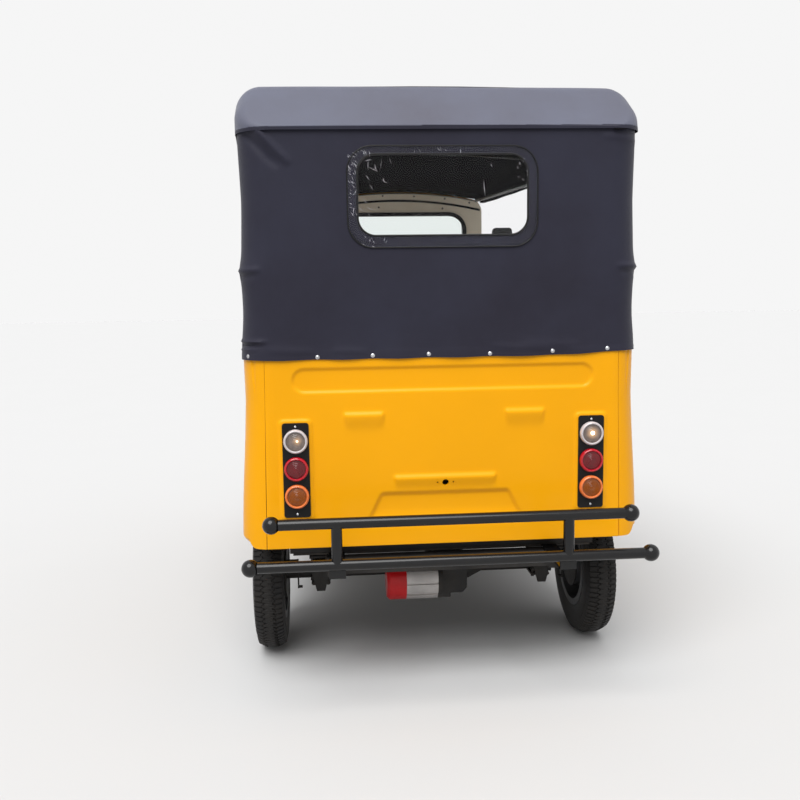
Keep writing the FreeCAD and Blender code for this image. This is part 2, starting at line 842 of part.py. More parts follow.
def rail_hangers():
    """Box beside one rail that holds the spring's front eye, and the pin of the rear shackle."""
    outer = rail_at + rail_width / 2
    eye = eye_height(leaf_front)
    rear, front = leaf_front - hanger_half, leaf_front + hanger_half
    cheek = spring_at + leaf_width / 2 + hanger_gap
    plate = [(rear, rail_high, 0), (front, rail_high, 0), (front, eye - hanger_drop, hanger_round),
             (rear, eye - hanger_drop, hanger_round)]
    plate = prism(plate, lambda u, v: V(cheek, y(u), v), V(hanger_wall, 0, 0))
    lid = box(outer - weld_lap, cheek + hanger_wall, rear, front, eye + eye_radius + hanger_gap, rail_high)
    pin = eye_height(leaf_rear) + shackle_length
    pin_end = spring_at + leaf_width / 2 + shackle_wall + pin_head + hanger_gap
    return [plate, lid, rod(pin_radius, at(outer - weld_lap, leaf_rear, pin), at(pin_end, leaf_rear, pin))]


def steer_point(distance, x=0.0, ahead=0.0):
    """Point on the steering axis, a distance up it, moved sideways and ahead square to it."""
    angle = math.radians(rake)
    up = V(0, -math.sin(angle), math.cos(angle))
    fore = V(0, math.cos(angle), math.sin(angle))
    foot = at(0, front_axle_at, tyre_radius) - fore * fork_offset
    return foot + up * distance + fore * ahead + V(x, 0, 0)


def chassis():
    """Ladder frame with outriggers, spring hangers, and the steering head on its neck and two struts."""
    half = rail_width / 2
    pieces = pair(box(rail_at - half, rail_at + half, rail_rear, rail_front, rail_low, rail_high))
    for place in cross_places:
        pieces.append(box(-rail_at, rail_at, place - cross_width / 2, place + cross_width / 2,
                          rail_low + cross_rise, rail_high))
    for place in outrigger_places:
        rear, front = place - outrigger_width / 2, place + outrigger_width / 2
        reach = side_plan(front, rail_low) - wall - outrigger_clear
        pieces += pair(box(rail_at, reach, rear, front, rail_low + outrigger_rise, rail_high))
    for hanger in rail_hangers():
        pieces += pair(hanger)
    head_foot = clamp_low + clamp_wall / 2 + head_clear
    head_top = clamp_high - clamp_wall / 2 - head_clear
    cross = at(0, rail_front - cross_width / 2, (rail_low + rail_high) / 2)
    pieces.append(rod(head_radius, steer_point(head_foot), steer_point(head_top)))
    pieces.append(rod(neck_radius, cross, steer_point(clamp_low + neck_lift)))
    for side in (-1, 1):
        foot = cross + V(side * strut_foot_half, 0, 0)
        pieces.append(rod(strut_radius, foot, steer_point(clamp_low + strut_lift)))
    bore = rod(steerer_radius + shaft_gap, steer_point(clamp_low - 2 * clamp_wall),
               steer_point(clamp_high + 2 * clamp_wall))
    save("chassis_frame", [fuse(pieces).cut(bore)])


def brake_pedal():
    """Foot bracket on the floor, bent arm and pad."""
    top = rail_high + floor_wall
    place = toe_foot - pedal_reach
    half_width, half_length = pedal_foot_width / 2, pedal_foot_length / 2
    foot = box(pedal_at - half_width, pedal_at + half_width, place - half_length, place + half_length,
               top - weld_lap, top + pedal_foot_height)
    back = place - pedal_foot_length
    height = top + pedal_height
    arm = bent_tube([at(pedal_at, place, top), at(pedal_at, place, height), at(pedal_at, back, height)],
                    pedal_radius, pedal_foot_height)
    half = pedal_pad_height / 2
    pad = box(pedal_at - pedal_half, pedal_at + pedal_half, back - pedal_pad_wall, back,
              height - half, height + half)
    return [foot, arm, pad]


def floor_pan():
    """Floor cut away round the rear wheels, with its toe board and the brake pedal."""
    top = rail_high + floor_wall
    clear = math.sqrt(arch_radius ** 2 - (rail_high - tyre_radius) ** 2)
    front_of_arch = axle_setback + clear + arch_clear
    half = side_plan(taper_start, top) - wall - floor_inset
    front_half = side_plan(sill_front, top) - wall - floor_inset
    nose_half = nose_value(rail_high, 1) - nose_wall - fit_gap
    step = sill_front - floor_inset
    right = [(half, front_of_arch, 0), (half, taper_start, 0), (front_half, step, 0), (nose_half, step, 0),
             (nose_half, toe_foot, 0)]
    plan = right + [(-u, v, radius) for u, v, radius in reversed(right)]
    floor = prism(plan, lambda u, v: V(u, y(v), rail_high), V(0, 0, floor_wall))
    under_half = track / 2 - floor_wheel_gap
    under_seat = box(-under_half, under_half, floor_rear, front_of_arch + weld_lap, rail_high, top)
    toe_head = toe_foot + toe_lean
    toe = prism([(toe_foot - floor_wall, rail_high, 0), (toe_foot + floor_wall, rail_high, 0),
                 (toe_head + floor_wall, toe_top, 0), (toe_head, toe_top, 0),
                 (toe_foot - floor_wall, top, 0)],
                lambda u, v: V(-nose_half, y(u), v), V(2 * nose_half, 0, 0))
    save("floor_pan", [fuse([floor, under_seat, toe] + brake_pedal())])


def seam_half(height):
    share = (height - body_bottom) / (body_top - body_bottom)
    return seam_half_bottom + share * (seam_half_top - seam_half_bottom)


def body_half(height):
    share = (height - body_bottom) / (body_top - body_bottom)
    return half_width_bottom + share * (half_width_top - half_width_bottom)


def pressing(corners, depth):
    """Solid with drafted sides on an outline of the rear panel's face, to a depth; less than 0 stands out."""
    middle_u = sum(corner[0] for corner in corners) / len(corners)
    middle_v = sum(corner[1] for corner in corners) / len(corners)
    inner = [(u - math.copysign(press_draft, u - middle_u), v - math.copysign(press_draft, v - middle_v),
              max(radius - press_draft, press_corner)) for u, v, radius in corners]
    wires = [outline(corners, lambda u, v: V(u, y(0), v)), outline(inner, lambda u, v: V(u, y(depth), v))]
    return Part.makeLoft(wires, True, True)


def rear_panel():
    """Pressed panel with ledges, lamp pads, the long recess, the plate recess and the plate lamp's holes."""
    low = seam_half_bottom - seam_gap
    high = seam_half_top - seam_gap
    panel = prism([(-low, body_bottom, 0), (low, body_bottom, 0), (high, body_top, 0), (-high, body_top, 0)],
                  lambda u, v: V(u, y(0), v), V(0, wall, 0))
    for middle, half, top, foot in ledges:
        profile = [(ledge_back, foot, 0), (ledge_back, top + ledge_bevel / 2, 0),
                   (-ledge_proud, top - ledge_bevel, 0)]
        panel = panel.fuse(prism(profile, lambda u, v: V(middle - half, y(u), v), V(2 * half, 0, 0)))
    pad_half = tail_plate_width / 2 + lamp_pad_margin + press_draft
    low = tail_plate_low - lamp_pad_margin - press_draft
    high = tail_plate_high + lamp_pad_margin + press_draft
    pad = pressing(rounded_box(pad_half, low, high, lamp_pad_radius), -lamp_pad_proud)
    for side in (-1, 1):
        moved = pad.copy()
        moved.translate(V(side * tail_at, 0, 0))
        panel = panel.fuse(moved)
    recess_corner = (recess_high - recess_low) / 2 - press_corner
    plate_recess = [(-plate_recess_half_low, plate_recess_low, plate_recess_foot_radius),
                    (plate_recess_half_low, plate_recess_low, plate_recess_foot_radius),
                    (plate_recess_half_top, plate_recess_top, plate_recess_head_radius),
                    (-plate_recess_half_top, plate_recess_top, plate_recess_head_radius)]
    panel = panel.cut(pressing(rounded_box(recess_half, recess_low, recess_high, recess_corner), press_depth))
    panel = panel.cut(pressing(plate_recess, press_depth))
    for x, radius in ((0, lamp_hole_radius), (-lamp_screw_spacing / 2, lamp_screw_radius),
                      (lamp_screw_spacing / 2, lamp_screw_radius)):
        start = at(x, -cutter_reach, lamp_hole_height)
        panel = panel.cut(rod(radius, start, start + V(0, 2 * cutter_reach, 0)))
    save("rear_panel", [panel.removeSplitter()])


def side_plan(distance, height):
    """Half width of the side panel's outer face at a place and height; it narrows towards the nose."""
    share = max(distance - taper_start, 0) / (sill_front - taper_start)
    return body_half(height) - share * taper_in


def body_sides():
    """Side panels with the wheel arch, the curved front edge and the sill under the door opening."""
    half = body_half(sill_bottom)
    front = side_plan(sill_front, sill_bottom)
    inner = seam_half_top - cutter_reach
    plan = [(inner, 0, 0), (half, 0, corner_radius), (half, taper_start, 0), (front, sill_front, 0),
            (front - wall, sill_front, 0), (half - wall, taper_start, 0),
            (half - wall, wall, corner_radius - wall), (inner, wall, 0)]
    lean = V(body_half(body_top) - half, 0, body_top - sill_bottom)
    shell = prism(plan, lambda u, v: V(u, y(v), sill_bottom), lean)
    low, high = sill_bottom - cutter_reach, body_top + cutter_reach
    seam = prism([(0, low, 0), (seam_half(low), low, 0), (seam_half(high), high, 0), (0, high, 0)],
                 lambda u, v: V(u, y(-cutter_reach), v), V(0, 2 * cutter_reach, 0))
    reach = V(2 * half_width_bottom, 0, 0)
    top_rear = side_top_front - side_top_run
    front_cut = prism([(sill_front + cutter_reach, high, 0), (sill_front + cutter_reach, sill_top, 0),
                       (side_front, sill_top, side_front_radius), (side_top_front, body_top, side_top_radius),
                       (top_rear, body_top, 0), (top_rear, high, 0)], lambda u, v: V(0, y(u), v), reach)
    low_cut = box(0, 2 * half_width_bottom, -cutter_reach, axle_setback, low, body_bottom)
    centre = at(0, axle_setback, tyre_radius)
    arch = rod(arch_radius, centre, centre + reach)
    panel = shell
    for cutter in (seam, front_cut, low_cut, arch):
        panel = panel.cut(cutter)
    half = body_half(body_bottom)
    corner = bottom_corner_radius
    block = box(half - corner, half + cutter_reach, -weld_lap, bottom_corner_length, body_bottom - weld_lap,
                body_bottom + corner)
    start = at(half - corner, -cutter_reach, body_bottom + corner)
    block = block.cut(rod(corner, start, start + V(0, side_top_front, 0)))
    panel = panel.cut(block)
    save("body_side_right", [panel])
    save("body_side_left", [mirrored(panel)])


def seat_box():
    """Bench box with its two wheel houses."""
    outer_half = half_width_top - wall - seat_box_clear
    lid = box(-outer_half, outer_half, seat_box_rear, seat_box_front, seat_box_top - seat_sheet, seat_box_top)
    low = rail_high + floor_wall
    inner_x = track / 2 - tyre_width / 2 - house_inset
    kick = box(-outer_half, outer_half, seat_box_front - seat_sheet, seat_box_front, low, seat_box_top)
    back_half = inner_x + weld_lap
    back = box(-back_half, back_half, seat_box_rear, seat_box_rear + seat_sheet, low, seat_box_top)
    outer_x = body_half(tyre_radius + arch_radius + house_wall) - wall - fit_gap
    centre = at(0, axle_setback, tyre_radius)
    keep = box(-half_width_bottom, half_width_bottom, 0, side_front, low, seat_box_top + tyre_radius)
    houses = []
    for side in (-1, 1):
        ends = (centre + V(side * inner_x, 0, 0), centre + V(side * outer_x, 0, 0))
        hollow_start = ends[0] + V(side * house_wall, 0, 0)
        hollow = rod(arch_radius, hollow_start, ends[1] + V(side * cutter_reach, 0, 0))
        houses.append(rod(arch_radius + house_wall, *ends).cut(hollow).common(keep))
        middle = rod(arch_radius + house_wall / 2, *ends)
        kick = kick.cut(middle)
        back = back.cut(middle)
    save("seat_box", [fuse([lid, kick, back] + houses)])


def seats():
    """Passengers' cushion and backrest, the driver's seat on its base, and the battery under the bench."""
    bench_low = seat_box_top + fit_gap
    bench_top = bench_low + cushion_height
    across = V(2 * bench_half, 0, 0)
    bench = prism([(bench_rear, bench_low, cushion_foot_round), (bench_front, bench_low, cushion_round),
                   (bench_front, bench_top, cushion_nose_round), (bench_rear, bench_top, cushion_round)],
                  lambda u, v: V(-bench_half, y(u), v), across)
    save("passenger_cushion", [bench])
    back_face = wall + fit_gap
    rest = prism([(back_face, bench_low, cushion_foot_round),
                  (bench_rear - fit_gap, bench_low, cushion_round),
                  (wall + bench_back_wall, bench_back_top, cushion_nose_round),
                  (back_face, bench_back_top, cushion_foot_round)],
                 lambda u, v: V(-bench_half, y(u), v), across)
    save("passenger_backrest", [rest])
    floor_top = rail_high + floor_wall
    base_half = driver_half - driver_base_inset
    hollow_half = base_half - driver_base_wall
    base = box(-base_half, base_half, driver_rear, driver_front, floor_top, driver_base_top)
    base = base.cut(box(-hollow_half, hollow_half, driver_rear + driver_base_wall,
                        driver_front - driver_base_wall, floor_top - weld_lap,
                        driver_base_top - driver_base_wall))
    post = box(driver_post_at - driver_post_half, driver_post_at + driver_post_half,
               driver_rear - driver_post_wall, driver_rear + fit_gap, floor_top + driver_post_foot,
               driver_back_top - driver_post_drop)
    save("driver_seat_base", [fuse([base] + pair(post))])
    cushion_low = driver_base_top + fit_gap
    cushion_top = driver_base_top + driver_cushion_height
    cushion_front = driver_front + driver_cushion_overhang
    cushion_rear = driver_rear + driver_cushion_rear
    cushion = prism([(cushion_rear, cushion_low, cushion_foot_round),
                     (cushion_front, cushion_low, cushion_round),
                     (cushion_front, cushion_top, cushion_nose_round),
                     (cushion_rear, cushion_top, cushion_foot_round)],
                    lambda u, v: V(-driver_half, y(u), v), V(2 * driver_half, 0, 0))
    save("driver_cushion", [cushion])
    back_face = driver_rear + 2 * fit_gap
    back_front = driver_rear + driver_back_wall
    back = prism([(back_face, cushion_low, 0), (back_front, cushion_low, 0),
                  (back_front - driver_back_taper, driver_back_top - driver_back_drop, cushion_round),
                  (back_face, driver_back_top, cushion_foot_round)],
                 lambda u, v: V(-base_half, y(u), v), V(2 * base_half, 0, 0))
    save("driver_backrest", [back])
    save("battery_pack", [box(-battery_half, battery_half, battery_rear, battery_front, floor_top,
                              floor_top + battery_height)])


def ball_ended(half, place, height):
    """Bumper tube across the vehicle with a ball at each end."""
    pieces = [rod(bumper_tube, at(-half, place, height), at(half, place, height))]
    for side in (-1, 1):
        ball = Part.makeSphere(bumper_ball)
        ball.translate(at(side * half, place, height))
        pieces.append(ball)
    return pieces


def rear_bumper():
    """Two ball-ended tubes, two posts and the brackets to the frame rails."""
    place = -bumper_back
    pieces = ball_ended(bumper_half_low, place, bumper_low) + ball_ended(bumper_half_high, place, bumper_high)
    low = rail_high + fit_gap
    for side in (-1, 1):
        x = side * bumper_post_at
        left, right = x - bracket_width / 2, x + bracket_width / 2
        pieces.append(rod(bumper_tube, at(x, place, bumper_low), at(x, place, bumper_high)))
        pieces.append(box(left, right, place, bracket_front, low, low + bracket_wall))
        pieces.append(box(left, right, place, place + bracket_wall, low, bumper_low))
    save("rear_bumper", [fuse(pieces)])


def cap(radius, foot, height):
    """Profile pieces of a ball's cap on the axis, from its foot at a radius to its top."""
    ball = (radius ** 2 + height ** 2) / (2 * height)
    half_angle = math.asin(radius / ball) / 2
    middle = (foot + height - ball + ball * math.cos(half_angle), ball * math.sin(half_angle))
    return [[(foot, radius), middle, (foot + height, 0)], [(foot + height, 0), (0, 0)]]


def domed(radius, rim, depth, dome, centre, axis):
    """Lens with a straight side and, inside a narrow rim, a domed face."""
    step = depth - dome
    foot = radius - rim
    profile = [[(0, 0), (0, radius)], [(0, radius), (step, radius)], [(step, radius), (step, foot)]]
    return revolved(profile + cap(foot, step, dome), centre, axis)


def tail_lamps():
    """Lamp plates on the pads, each with a clear, a red and an amber lens."""
    face = -lamp_pad_proud - fit_gap
    half = tail_plate_width / 2
    plate = prism(rounded_box(half, tail_plate_low, tail_plate_high, tail_plate_radius),
                  lambda u, v: V(tail_at + u, y(face), v), V(0, -tail_plate_wall, 0))
    save("tail_lamp_plates", pair(plate))
    seat = face - tail_plate_wall - fit_gap
    for index, colour in enumerate(("clear", "red", "amber")):
        height = tail_lens_top - index * tail_lens_pitch
        lens = domed(tail_lens_radius, tail_lens_rim, tail_lens_depth, tail_lens_dome,
                     at(tail_at, seat, height), V(0, -1, 0))
        save("tail_lenses_" + colour, pair(lens))


def nose_section(row, inset):
    height, half, apex, crown, corner = row
    place = lambda u, v: V(u, y(v), height)
    return arch_wall(half - inset, half - inset, nose_back, apex - inset, crown - inset, corner - inset,
                     nose_wall, place)


def cab_nose():
    """Nose shell with its cowl lid, open over the front wheel and round the lamps."""
    sections = [nose_section(row, 0) for row in nose_rows]
    shell = Part.makeLoft(sections, True, True)
    height, half, apex, crown, corner = nose_rows[-1]
    rim_half = half - cowl_inset
    level = height - cowl_wall
    rim = arch_edges(rim_half, rim_half, nose_back, apex - cowl_inset, crown - cowl_inset,
                     corner - cowl_inset, lambda u, v: V(u, y(v), level))
    start = V(-rim_half, y(nose_back), level)
    rim.append(Part.LineSegment(start, start + V(2 * rim_half, 0, 0)).toShape())
    lid = Part.Face(Part.Wire(Part.__sortEdges__(rim))).extrude(V(0, 0, cowl_wall - fit_gap))
    lid = lid.common(box(-half, half, cowl_rear, apex, height - cutter_reach, height + cutter_reach))
    shell = shell.fuse(lid)
    well = rounded_box(wheel_well_half, nose_rows[0][0] - wheel_well_half, wheel_well_top, wheel_well_corner)
    well = prism(well, lambda u, v: V(u, y(nose_back - cutter_reach), v), V(0, wheelbase, 0))
    shell = shell.cut(well)
    for x, height, radius, back, front in (headlamp, indicator):
        for side in (-1, 1):
            shell = shell.cut(rod(radius + fit_gap, at(side * x, front_axle_at - back - cutter_reach, height),
                                  at(side * x, front_axle_at + cutter_reach, height)))
    save("cab_nose", [shell])


def front_lamps():
    """Headlamp bowls with their bezels, domed lenses and indicators."""
    x, height, radius, back, front = headlamp
    centre = at(x, front_axle_at - back, height)
    depth = back - front
    mouth = radius - lamp_bezel
    step = depth - lamp_bezel_depth
    floor = depth - lamp_bowl_depth
    bowl = revolved([
        [(0, 0), (0, radius - lamp_bowl_taper)],
        [(0, radius - lamp_bowl_taper), (lamp_bowl_taper, radius)],
        [(lamp_bowl_taper, radius), (step, radius)],
        [(step, radius), (step, radius + lamp_bezel)],
        [(step, radius + lamp_bezel), (depth, radius)],
        [(depth, radius), (depth, mouth)],
        [(depth, mouth), (floor, mouth)],
        [(floor, mouth), (floor, 0)],
        [(floor, 0), (0, 0)],
    ], centre, V(0, 1, 0))
    save("headlamps", pair(bowl))
    foot = floor + fit_gap
    edge = mouth - fit_gap
    rim = depth - lamp_dome
    dome = cap(edge, rim - foot, lamp_dome)
    side = [[(0, 0), (0, edge)], [(0, edge), (rim - foot, edge)]]
    lens = revolved(side + dome, centre + V(0, foot, 0), V(0, 1, 0))
    save("headlamp_lenses", pair(lens))
    x, height, radius, back, front = indicator
    lamp = domed(radius, indicator_rim, back - front, indicator_dome,
                 at(x, front_axle_at - back, height), V(0, 1, 0))
    save("front_indicators", pair(lamp))


def front_bumper():
    """Two short ball-ended tubes, two posts and the brackets on the nose."""
    place = front_axle_at + front_bumper_reach
    pieces = ball_ended(front_bumper_half_low, place, front_bumper_low)
    pieces += ball_ended(front_bumper_half_high, place, front_bumper_high)
    low = front_bracket_height - bracket_wall
    half = front_bracket_width / 2
    crown = nose_value(low, 3)
    for side in (-1, 1):
        x = side * front_bumper_post_at
        pieces.append(rod(bumper_tube, at(x, place, front_bumper_low), at(x, place, front_bumper_high)))
        face = nose_value(low, 2) - crown + math.sqrt(crown ** 2 - (abs(x) - half) ** 2)
        pieces.append(box(x - half, x + half, face + fit_gap, place, low, front_bracket_height))
    save("front_bumper", [fuse(pieces)])


def screen_place(depth):
    """Maps (x, height) in the windscreen's plane, a depth ahead of it, into the vehicle."""
    lean = math.radians(screen_lean)
    foot = at(0, screen_foot_at, screen_foot_height)
    up = V(0, -math.sin(lean), math.cos(lean))
    fore = V(0, math.cos(lean), math.sin(lean))
    return (lambda u, v: foot + V(u, 0, 0) + up * v + fore * depth), fore


def windscreen():
    def ring_plate(depth, thickness):
        place, fore = screen_place(depth)
        edges = arch_edges(screen_half_head, screen_half_foot, 0, screen_height, screen_crown,
                           screen_corner, place)
        edges.append(Part.LineSegment(place(-screen_half_foot, 0), place(screen_half_foot, 0)).toShape())
        plate = Part.Face(Part.Wire(Part.__sortEdges__(edges))).extrude(fore * thickness)
        hole = prism(glass_outline(0), place, fore * thickness)
        return plate.cut(hole)

    def glass_outline(inset):
        return [(-glass_half_foot + inset, glass_low + inset, glass_corner - inset),
                (glass_half_foot - inset, glass_low + inset, glass_corner - inset),
                (glass_half_head - inset, glass_high - inset, glass_corner - inset),
                (-glass_half_head + inset, glass_high - inset, glass_corner - inset)]

    save("windscreen_liner", [ring_plate(0, liner_wall)])
    save("windscreen_frame", [ring_plate(liner_wall + fit_gap, frame_wall)])
    gasket_depth = (liner_wall + frame_wall - gasket_wall) / 2
    place, fore = screen_place(gasket_depth)
    outer = prism(glass_outline(fit_gap), place, fore * gasket_wall)
    inner = prism(glass_outline(gasket_width), place, fore * gasket_wall)
    save("windscreen_gasket", [outer.cut(inner)])
    place, fore = screen_place(liner_wall)
    save("windscreen_glass", [prism(glass_outline(gasket_width + fit_gap), place, fore * glass_wall)])


def nose_value(height, column):
    """Value of a nose column at a height, on the straight line between the two nearest rows."""
    for below, above in zip(nose_rows, nose_rows[1:]):
        if height <= above[0]:
            share = (height - below[0]) / (above[0] - below[0])
            return below[column] + share * (above[column] - below[column])
    return nose_rows[-1][column]


def dashboard():
    """Dash with a notch for the steering column and a meter housing on it."""
    half = nose_value(dash_high, 1) - nose_wall - fit_gap
    right = [(half - dash_taper, dash_front, 0), (half, dash_rear, 0),
             (dash_notch_half, dash_rear, dash_notch_radius),
             (dash_notch_foot, dash_rear + dash_notch_depth, dash_notch_radius)]
    plan = right + [(-u, v, radius) for u, v, radius in reversed(right)]
    dash = prism(plan, lambda u, v: V(u, y(v), dash_low), V(0, 0, dash_high - dash_low))
    meter = prism(rounded_box(meter_half, dash_high - meter_radius, dash_high + meter_height, meter_radius),
                  lambda u, v: V(u, y(dash_rear + meter_rear_gap), v), V(0, meter_length, 0))
    save("dashboard", [fuse([dash, meter])])


def mirrors():
    """Mirror heads on bent arms, each from a small foot on the windscreen frame's side."""
    knee = arch_knee(screen_half_head, screen_height, screen_crown, screen_corner)

    def side_half(v):
        return screen_half_foot + (screen_half_head - screen_half_foot) * v / knee

    place, fore = screen_place(mirror_foot_back)
    low, high = side_half(mirror_foot_low), side_half(mirror_foot_high)
    foot = prism([(low + fit_gap, mirror_foot_low, 0), (low + mirror_foot_wall, mirror_foot_low, 0),
                  (high + mirror_foot_wall, mirror_foot_high, 0), (high + fit_gap, mirror_foot_high, 0)],
                 place, fore * mirror_foot_depth)
    middle = (mirror_foot_low + mirror_foot_high) / 2
    start = place(side_half(middle) + mirror_foot_wall / 2, middle) + fore * (mirror_foot_depth / 2)
    knee_place = at(mirror_knee_at, front_axle_at - mirror_arm_knee_setback, mirror_arm_knee_height)
    end = at(mirror_arm_end_at, front_axle_at - mirror_arm_end_setback, mirror_arm_end_height)
    arm = bent_tube([start, knee_place, end], mirror_arm_radius, mirror_arm_bend)
    back = front_axle_at - mirror_setback
    head = prism([(mirror_inner, mirror_low, mirror_round), (mirror_outer, mirror_low, mirror_round),
                  (mirror_outer - mirror_outer_lean, mirror_high, mirror_round),
                  (mirror_inner + mirror_inner_lean, mirror_high, mirror_round)],
                 lambda u, v: V(u, y(back), v), V(0, mirror_wall, 0))
    save("mirrors", pair(fuse([foot, arm, head])))


def wiper():
    """Wiper boss, arm and blade, parked on the left."""
    place, fore = screen_place(liner_wall + frame_wall + fit_gap)
    pivot = place(0, wiper_boss_height)
    boss = Part.makeCylinder(wiper_boss_radius, wiper_boss_depth, pivot, fore)
    lift = fore * wiper_arm_depth
    arm = rod(wiper_arm_radius, pivot + lift, place(*wiper_arm_end) + lift)
    low, high = wiper_blade_ends
    lift = fore * wiper_blade_depth
    blade = rod(wiper_blade_radius, place(*low) + lift, place(*high) + lift)
    save("wiper", [fuse([boss, arm, blade])])


def fork():
    """Telescopic fork with its clamps, steerer and the front axle."""
    pieces = []
    for side in (-1, 1):
        x = side * fork_half
        for radius, low, high in ((fork_leg, fork_leg_low, fork_leg_high),
                                  (fork_tube, fork_leg_high - weld_lap, clamp_high + tube_above_clamp)):
            pieces.append(rod(radius, steer_point(low, x, fork_offset), steer_point(high, x, fork_offset)))
    centre = at(0, front_axle_at, tyre_radius)
    reach = fork_half + fork_leg + front_axle_end
    pieces.append(rod(front_axle_radius, centre - V(reach, 0, 0), centre + V(reach, 0, 0)))
    fore = steer_point(0, 0, 1) - steer_point(0)
    plate_half = fork_half + clamp_half
    for distance in (clamp_low, clamp_high):
        foot = steer_point(distance - clamp_wall / 2)
        lift = steer_point(distance + clamp_wall / 2) - foot
        flat = lambda u, v: foot + V(u, 0, 0) + fore * v
        near, far = fork_offset - clamp_half, fork_offset + clamp_half
        plate = prism(rounded_box(plate_half, near, far, clamp_round), flat, lift)
        web = prism([(-clamp_boss, 0, 0), (clamp_boss, 0, 0), (clamp_web, fork_offset, 0),
                     (-clamp_web, fork_offset, 0)], flat, lift)
        pieces += [plate, rod(clamp_boss, foot, foot + lift), web]
    pieces.append(rod(steerer_radius, steer_point(clamp_low), steer_point(clamp_high)))
    save("front_fork", [fuse(pieces)])


def mudguard():
    """Guard over the front wheel, from behind it to just ahead, with its bracket up to the lower clamp."""
    centre = at(0, front_axle_at, tyre_radius)
    inner = tyre_radius + guard_gap
    outer = inner + guard_wall
    shell = ring(centre, -guard_half, guard_half, inner, outer)
    left = ring(centre, -guard_half, -guard_half + guard_wall, inner - guard_lip, outer)
    right = ring(centre, guard_half - guard_wall, guard_half, inner - guard_lip, outer)
    drop = math.radians(guard_drop_angle)
    reach = 2 * tyre_radius
    start = centre - V(guard_half + weld_lap, 0, 0)
    keep = Part.Face(Part.makePolygon([start, start + V(0, reach, 0), start + V(0, reach, reach),
                                       start + V(0, -reach, reach),
                                       start - V(0, reach * math.cos(drop), reach * math.sin(drop)), start]))
    guard = fuse([shell, left, right]).common(keep.extrude(V(2 * (guard_half + weld_lap), 0, 0)))
    foot = inner + guard_wall / 2
    lift = steer_point(clamp_low - clamp_wall / 2 - fit_gap) - steer_point(foot)
    half = guard_bracket_half_width
    near, far = fork_offset - guard_bracket_half_length, fork_offset + guard_bracket_half_length
    bracket = prism([(-half, near, 0), (half, near, 0), (half, far, 0), (-half, far, 0)],
                    lambda u, v: steer_point(foot, u, v), lift)
    save("front_mudguard", [fuse([guard, bracket])])


def handlebar():
    """Column, crossbar swept back to the rider, hand levers on their perches, and the two grips."""
    column = rod(column_radius, steer_point(clamp_high + clamp_wall / 2), steer_point(bar_height))
    end = steer_point(bar_height + bar_rise, bar_half, -bar_sweep)
    inboard = steer_point(bar_height + bar_rise, bar_knee_at, -bar_knee_sweep)
    right = bent_tube([steer_point(bar_height - weld_lap),
                       steer_point(bar_height + bar_clamp_rise, bar_clamp_at, 0), inboard, end],
                      bar_radius, bar_bend)
    run = (inboard - end).normalize()
    fore = steer_point(0, 0, 1) - steer_point(0)
    perch_start = end + run * (grip_length + grip_radius)
    perch = rod(bar_radius + perch_wall, perch_start, perch_start + run * perch_length)
    knuckle = perch_start + run * (perch_length / 2)
    ahead = fore * hand_lever_reach
    lever = bent_tube([knuckle, knuckle + ahead, end + run * grip_radius + ahead], hand_lever_radius,
                      hand_lever_bend)
    save("handlebar", [fuse([column] + pair(right) + pair(perch) + pair(lever))])
    grip = rod(grip_radius, end - run * grip_end, end + run * grip_length)
    grip = grip.cut(rod(bar_radius + fit_gap, end, end + run * (grip_length + weld_lap)))
    save("handlebar_grips", pair(grip))


def roof_section(row):
    place_at, half, low, top, crown, corner = row
    place = lambda u, v: V(u, y(place_at), v)
    return arch_wall(half, half, low, top, crown, corner, canvas, place)


def curtain_section(height, half, front_half, rear, bow):
    place = lambda u, v: V(u, y(-v), height)
    return arch_wall(half, front_half, -curtain_front, rear, bow, curtain_corner, canvas, place)


def canopy():
    """Roof over the bows, curtain round the rear with its window opening, and the clear window."""
    save("canopy_roof", [Part.makeLoft([roof_section(row) for row in roof_rows], True, True)])
    skin = canvas + fit_gap
    hem_half = side_plan(0, hem_height) + skin
    curtain = Part.makeLoft([curtain_section(hem_height, hem_half, hem_half, skin, hem_bow),
                             curtain_section(curtain_top, curtain_half(0), curtain_half(curtain_front), skin,
                                             curtain_bow)], True, True)
    window = prism(rounded_box(window_half, window_low, window_high, window_corner),
                   lambda u, v: V(u, y(-cutter_reach), v), V(0, 2 * cutter_reach, 0))
    save("canopy_curtain", [curtain.cut(window)])
    sheet = prism(rounded_box(window_half - fit_gap, window_low + fit_gap, window_high - fit_gap,
                              window_corner - fit_gap),
                  lambda u, v: V(u, y(window_inset - canvas), v), V(0, window_wall, 0))
    save("rear_window", [sheet])


def roof_value(distance, column):
    """Value of a roof column at a place, on the straight line between the two nearest rows."""
    for before, after in zip(roof_rows, roof_rows[1:]):
        if distance <= after[0]:
            share = (distance - before[0]) / (after[0] - before[0])
            return before[column] + share * (after[column] - before[column])
    return roof_rows[-1][column]


def roof_half(distance):
    return roof_value(distance, 1)


def curtain_half(distance):
    """Half width of the curtain's outer face at its head, at a place along the side."""
    rear = roof_half(0) - canvas - fit_gap
    front = roof_half(curtain_front) - canvas - fit_gap - curtain_taper
    return rear + min(distance / curtain_front, 1) * (front - rear)


def bow_half(distance):
    """Half width of a bow to its tube's middle, just inside the curtain or the roof's valance."""
    skin = canvas + fit_gap + bow_tube + ferrule_wall
    if distance <= curtain_front:
        return curtain_half(distance) - skin
    return roof_half(distance) - skin


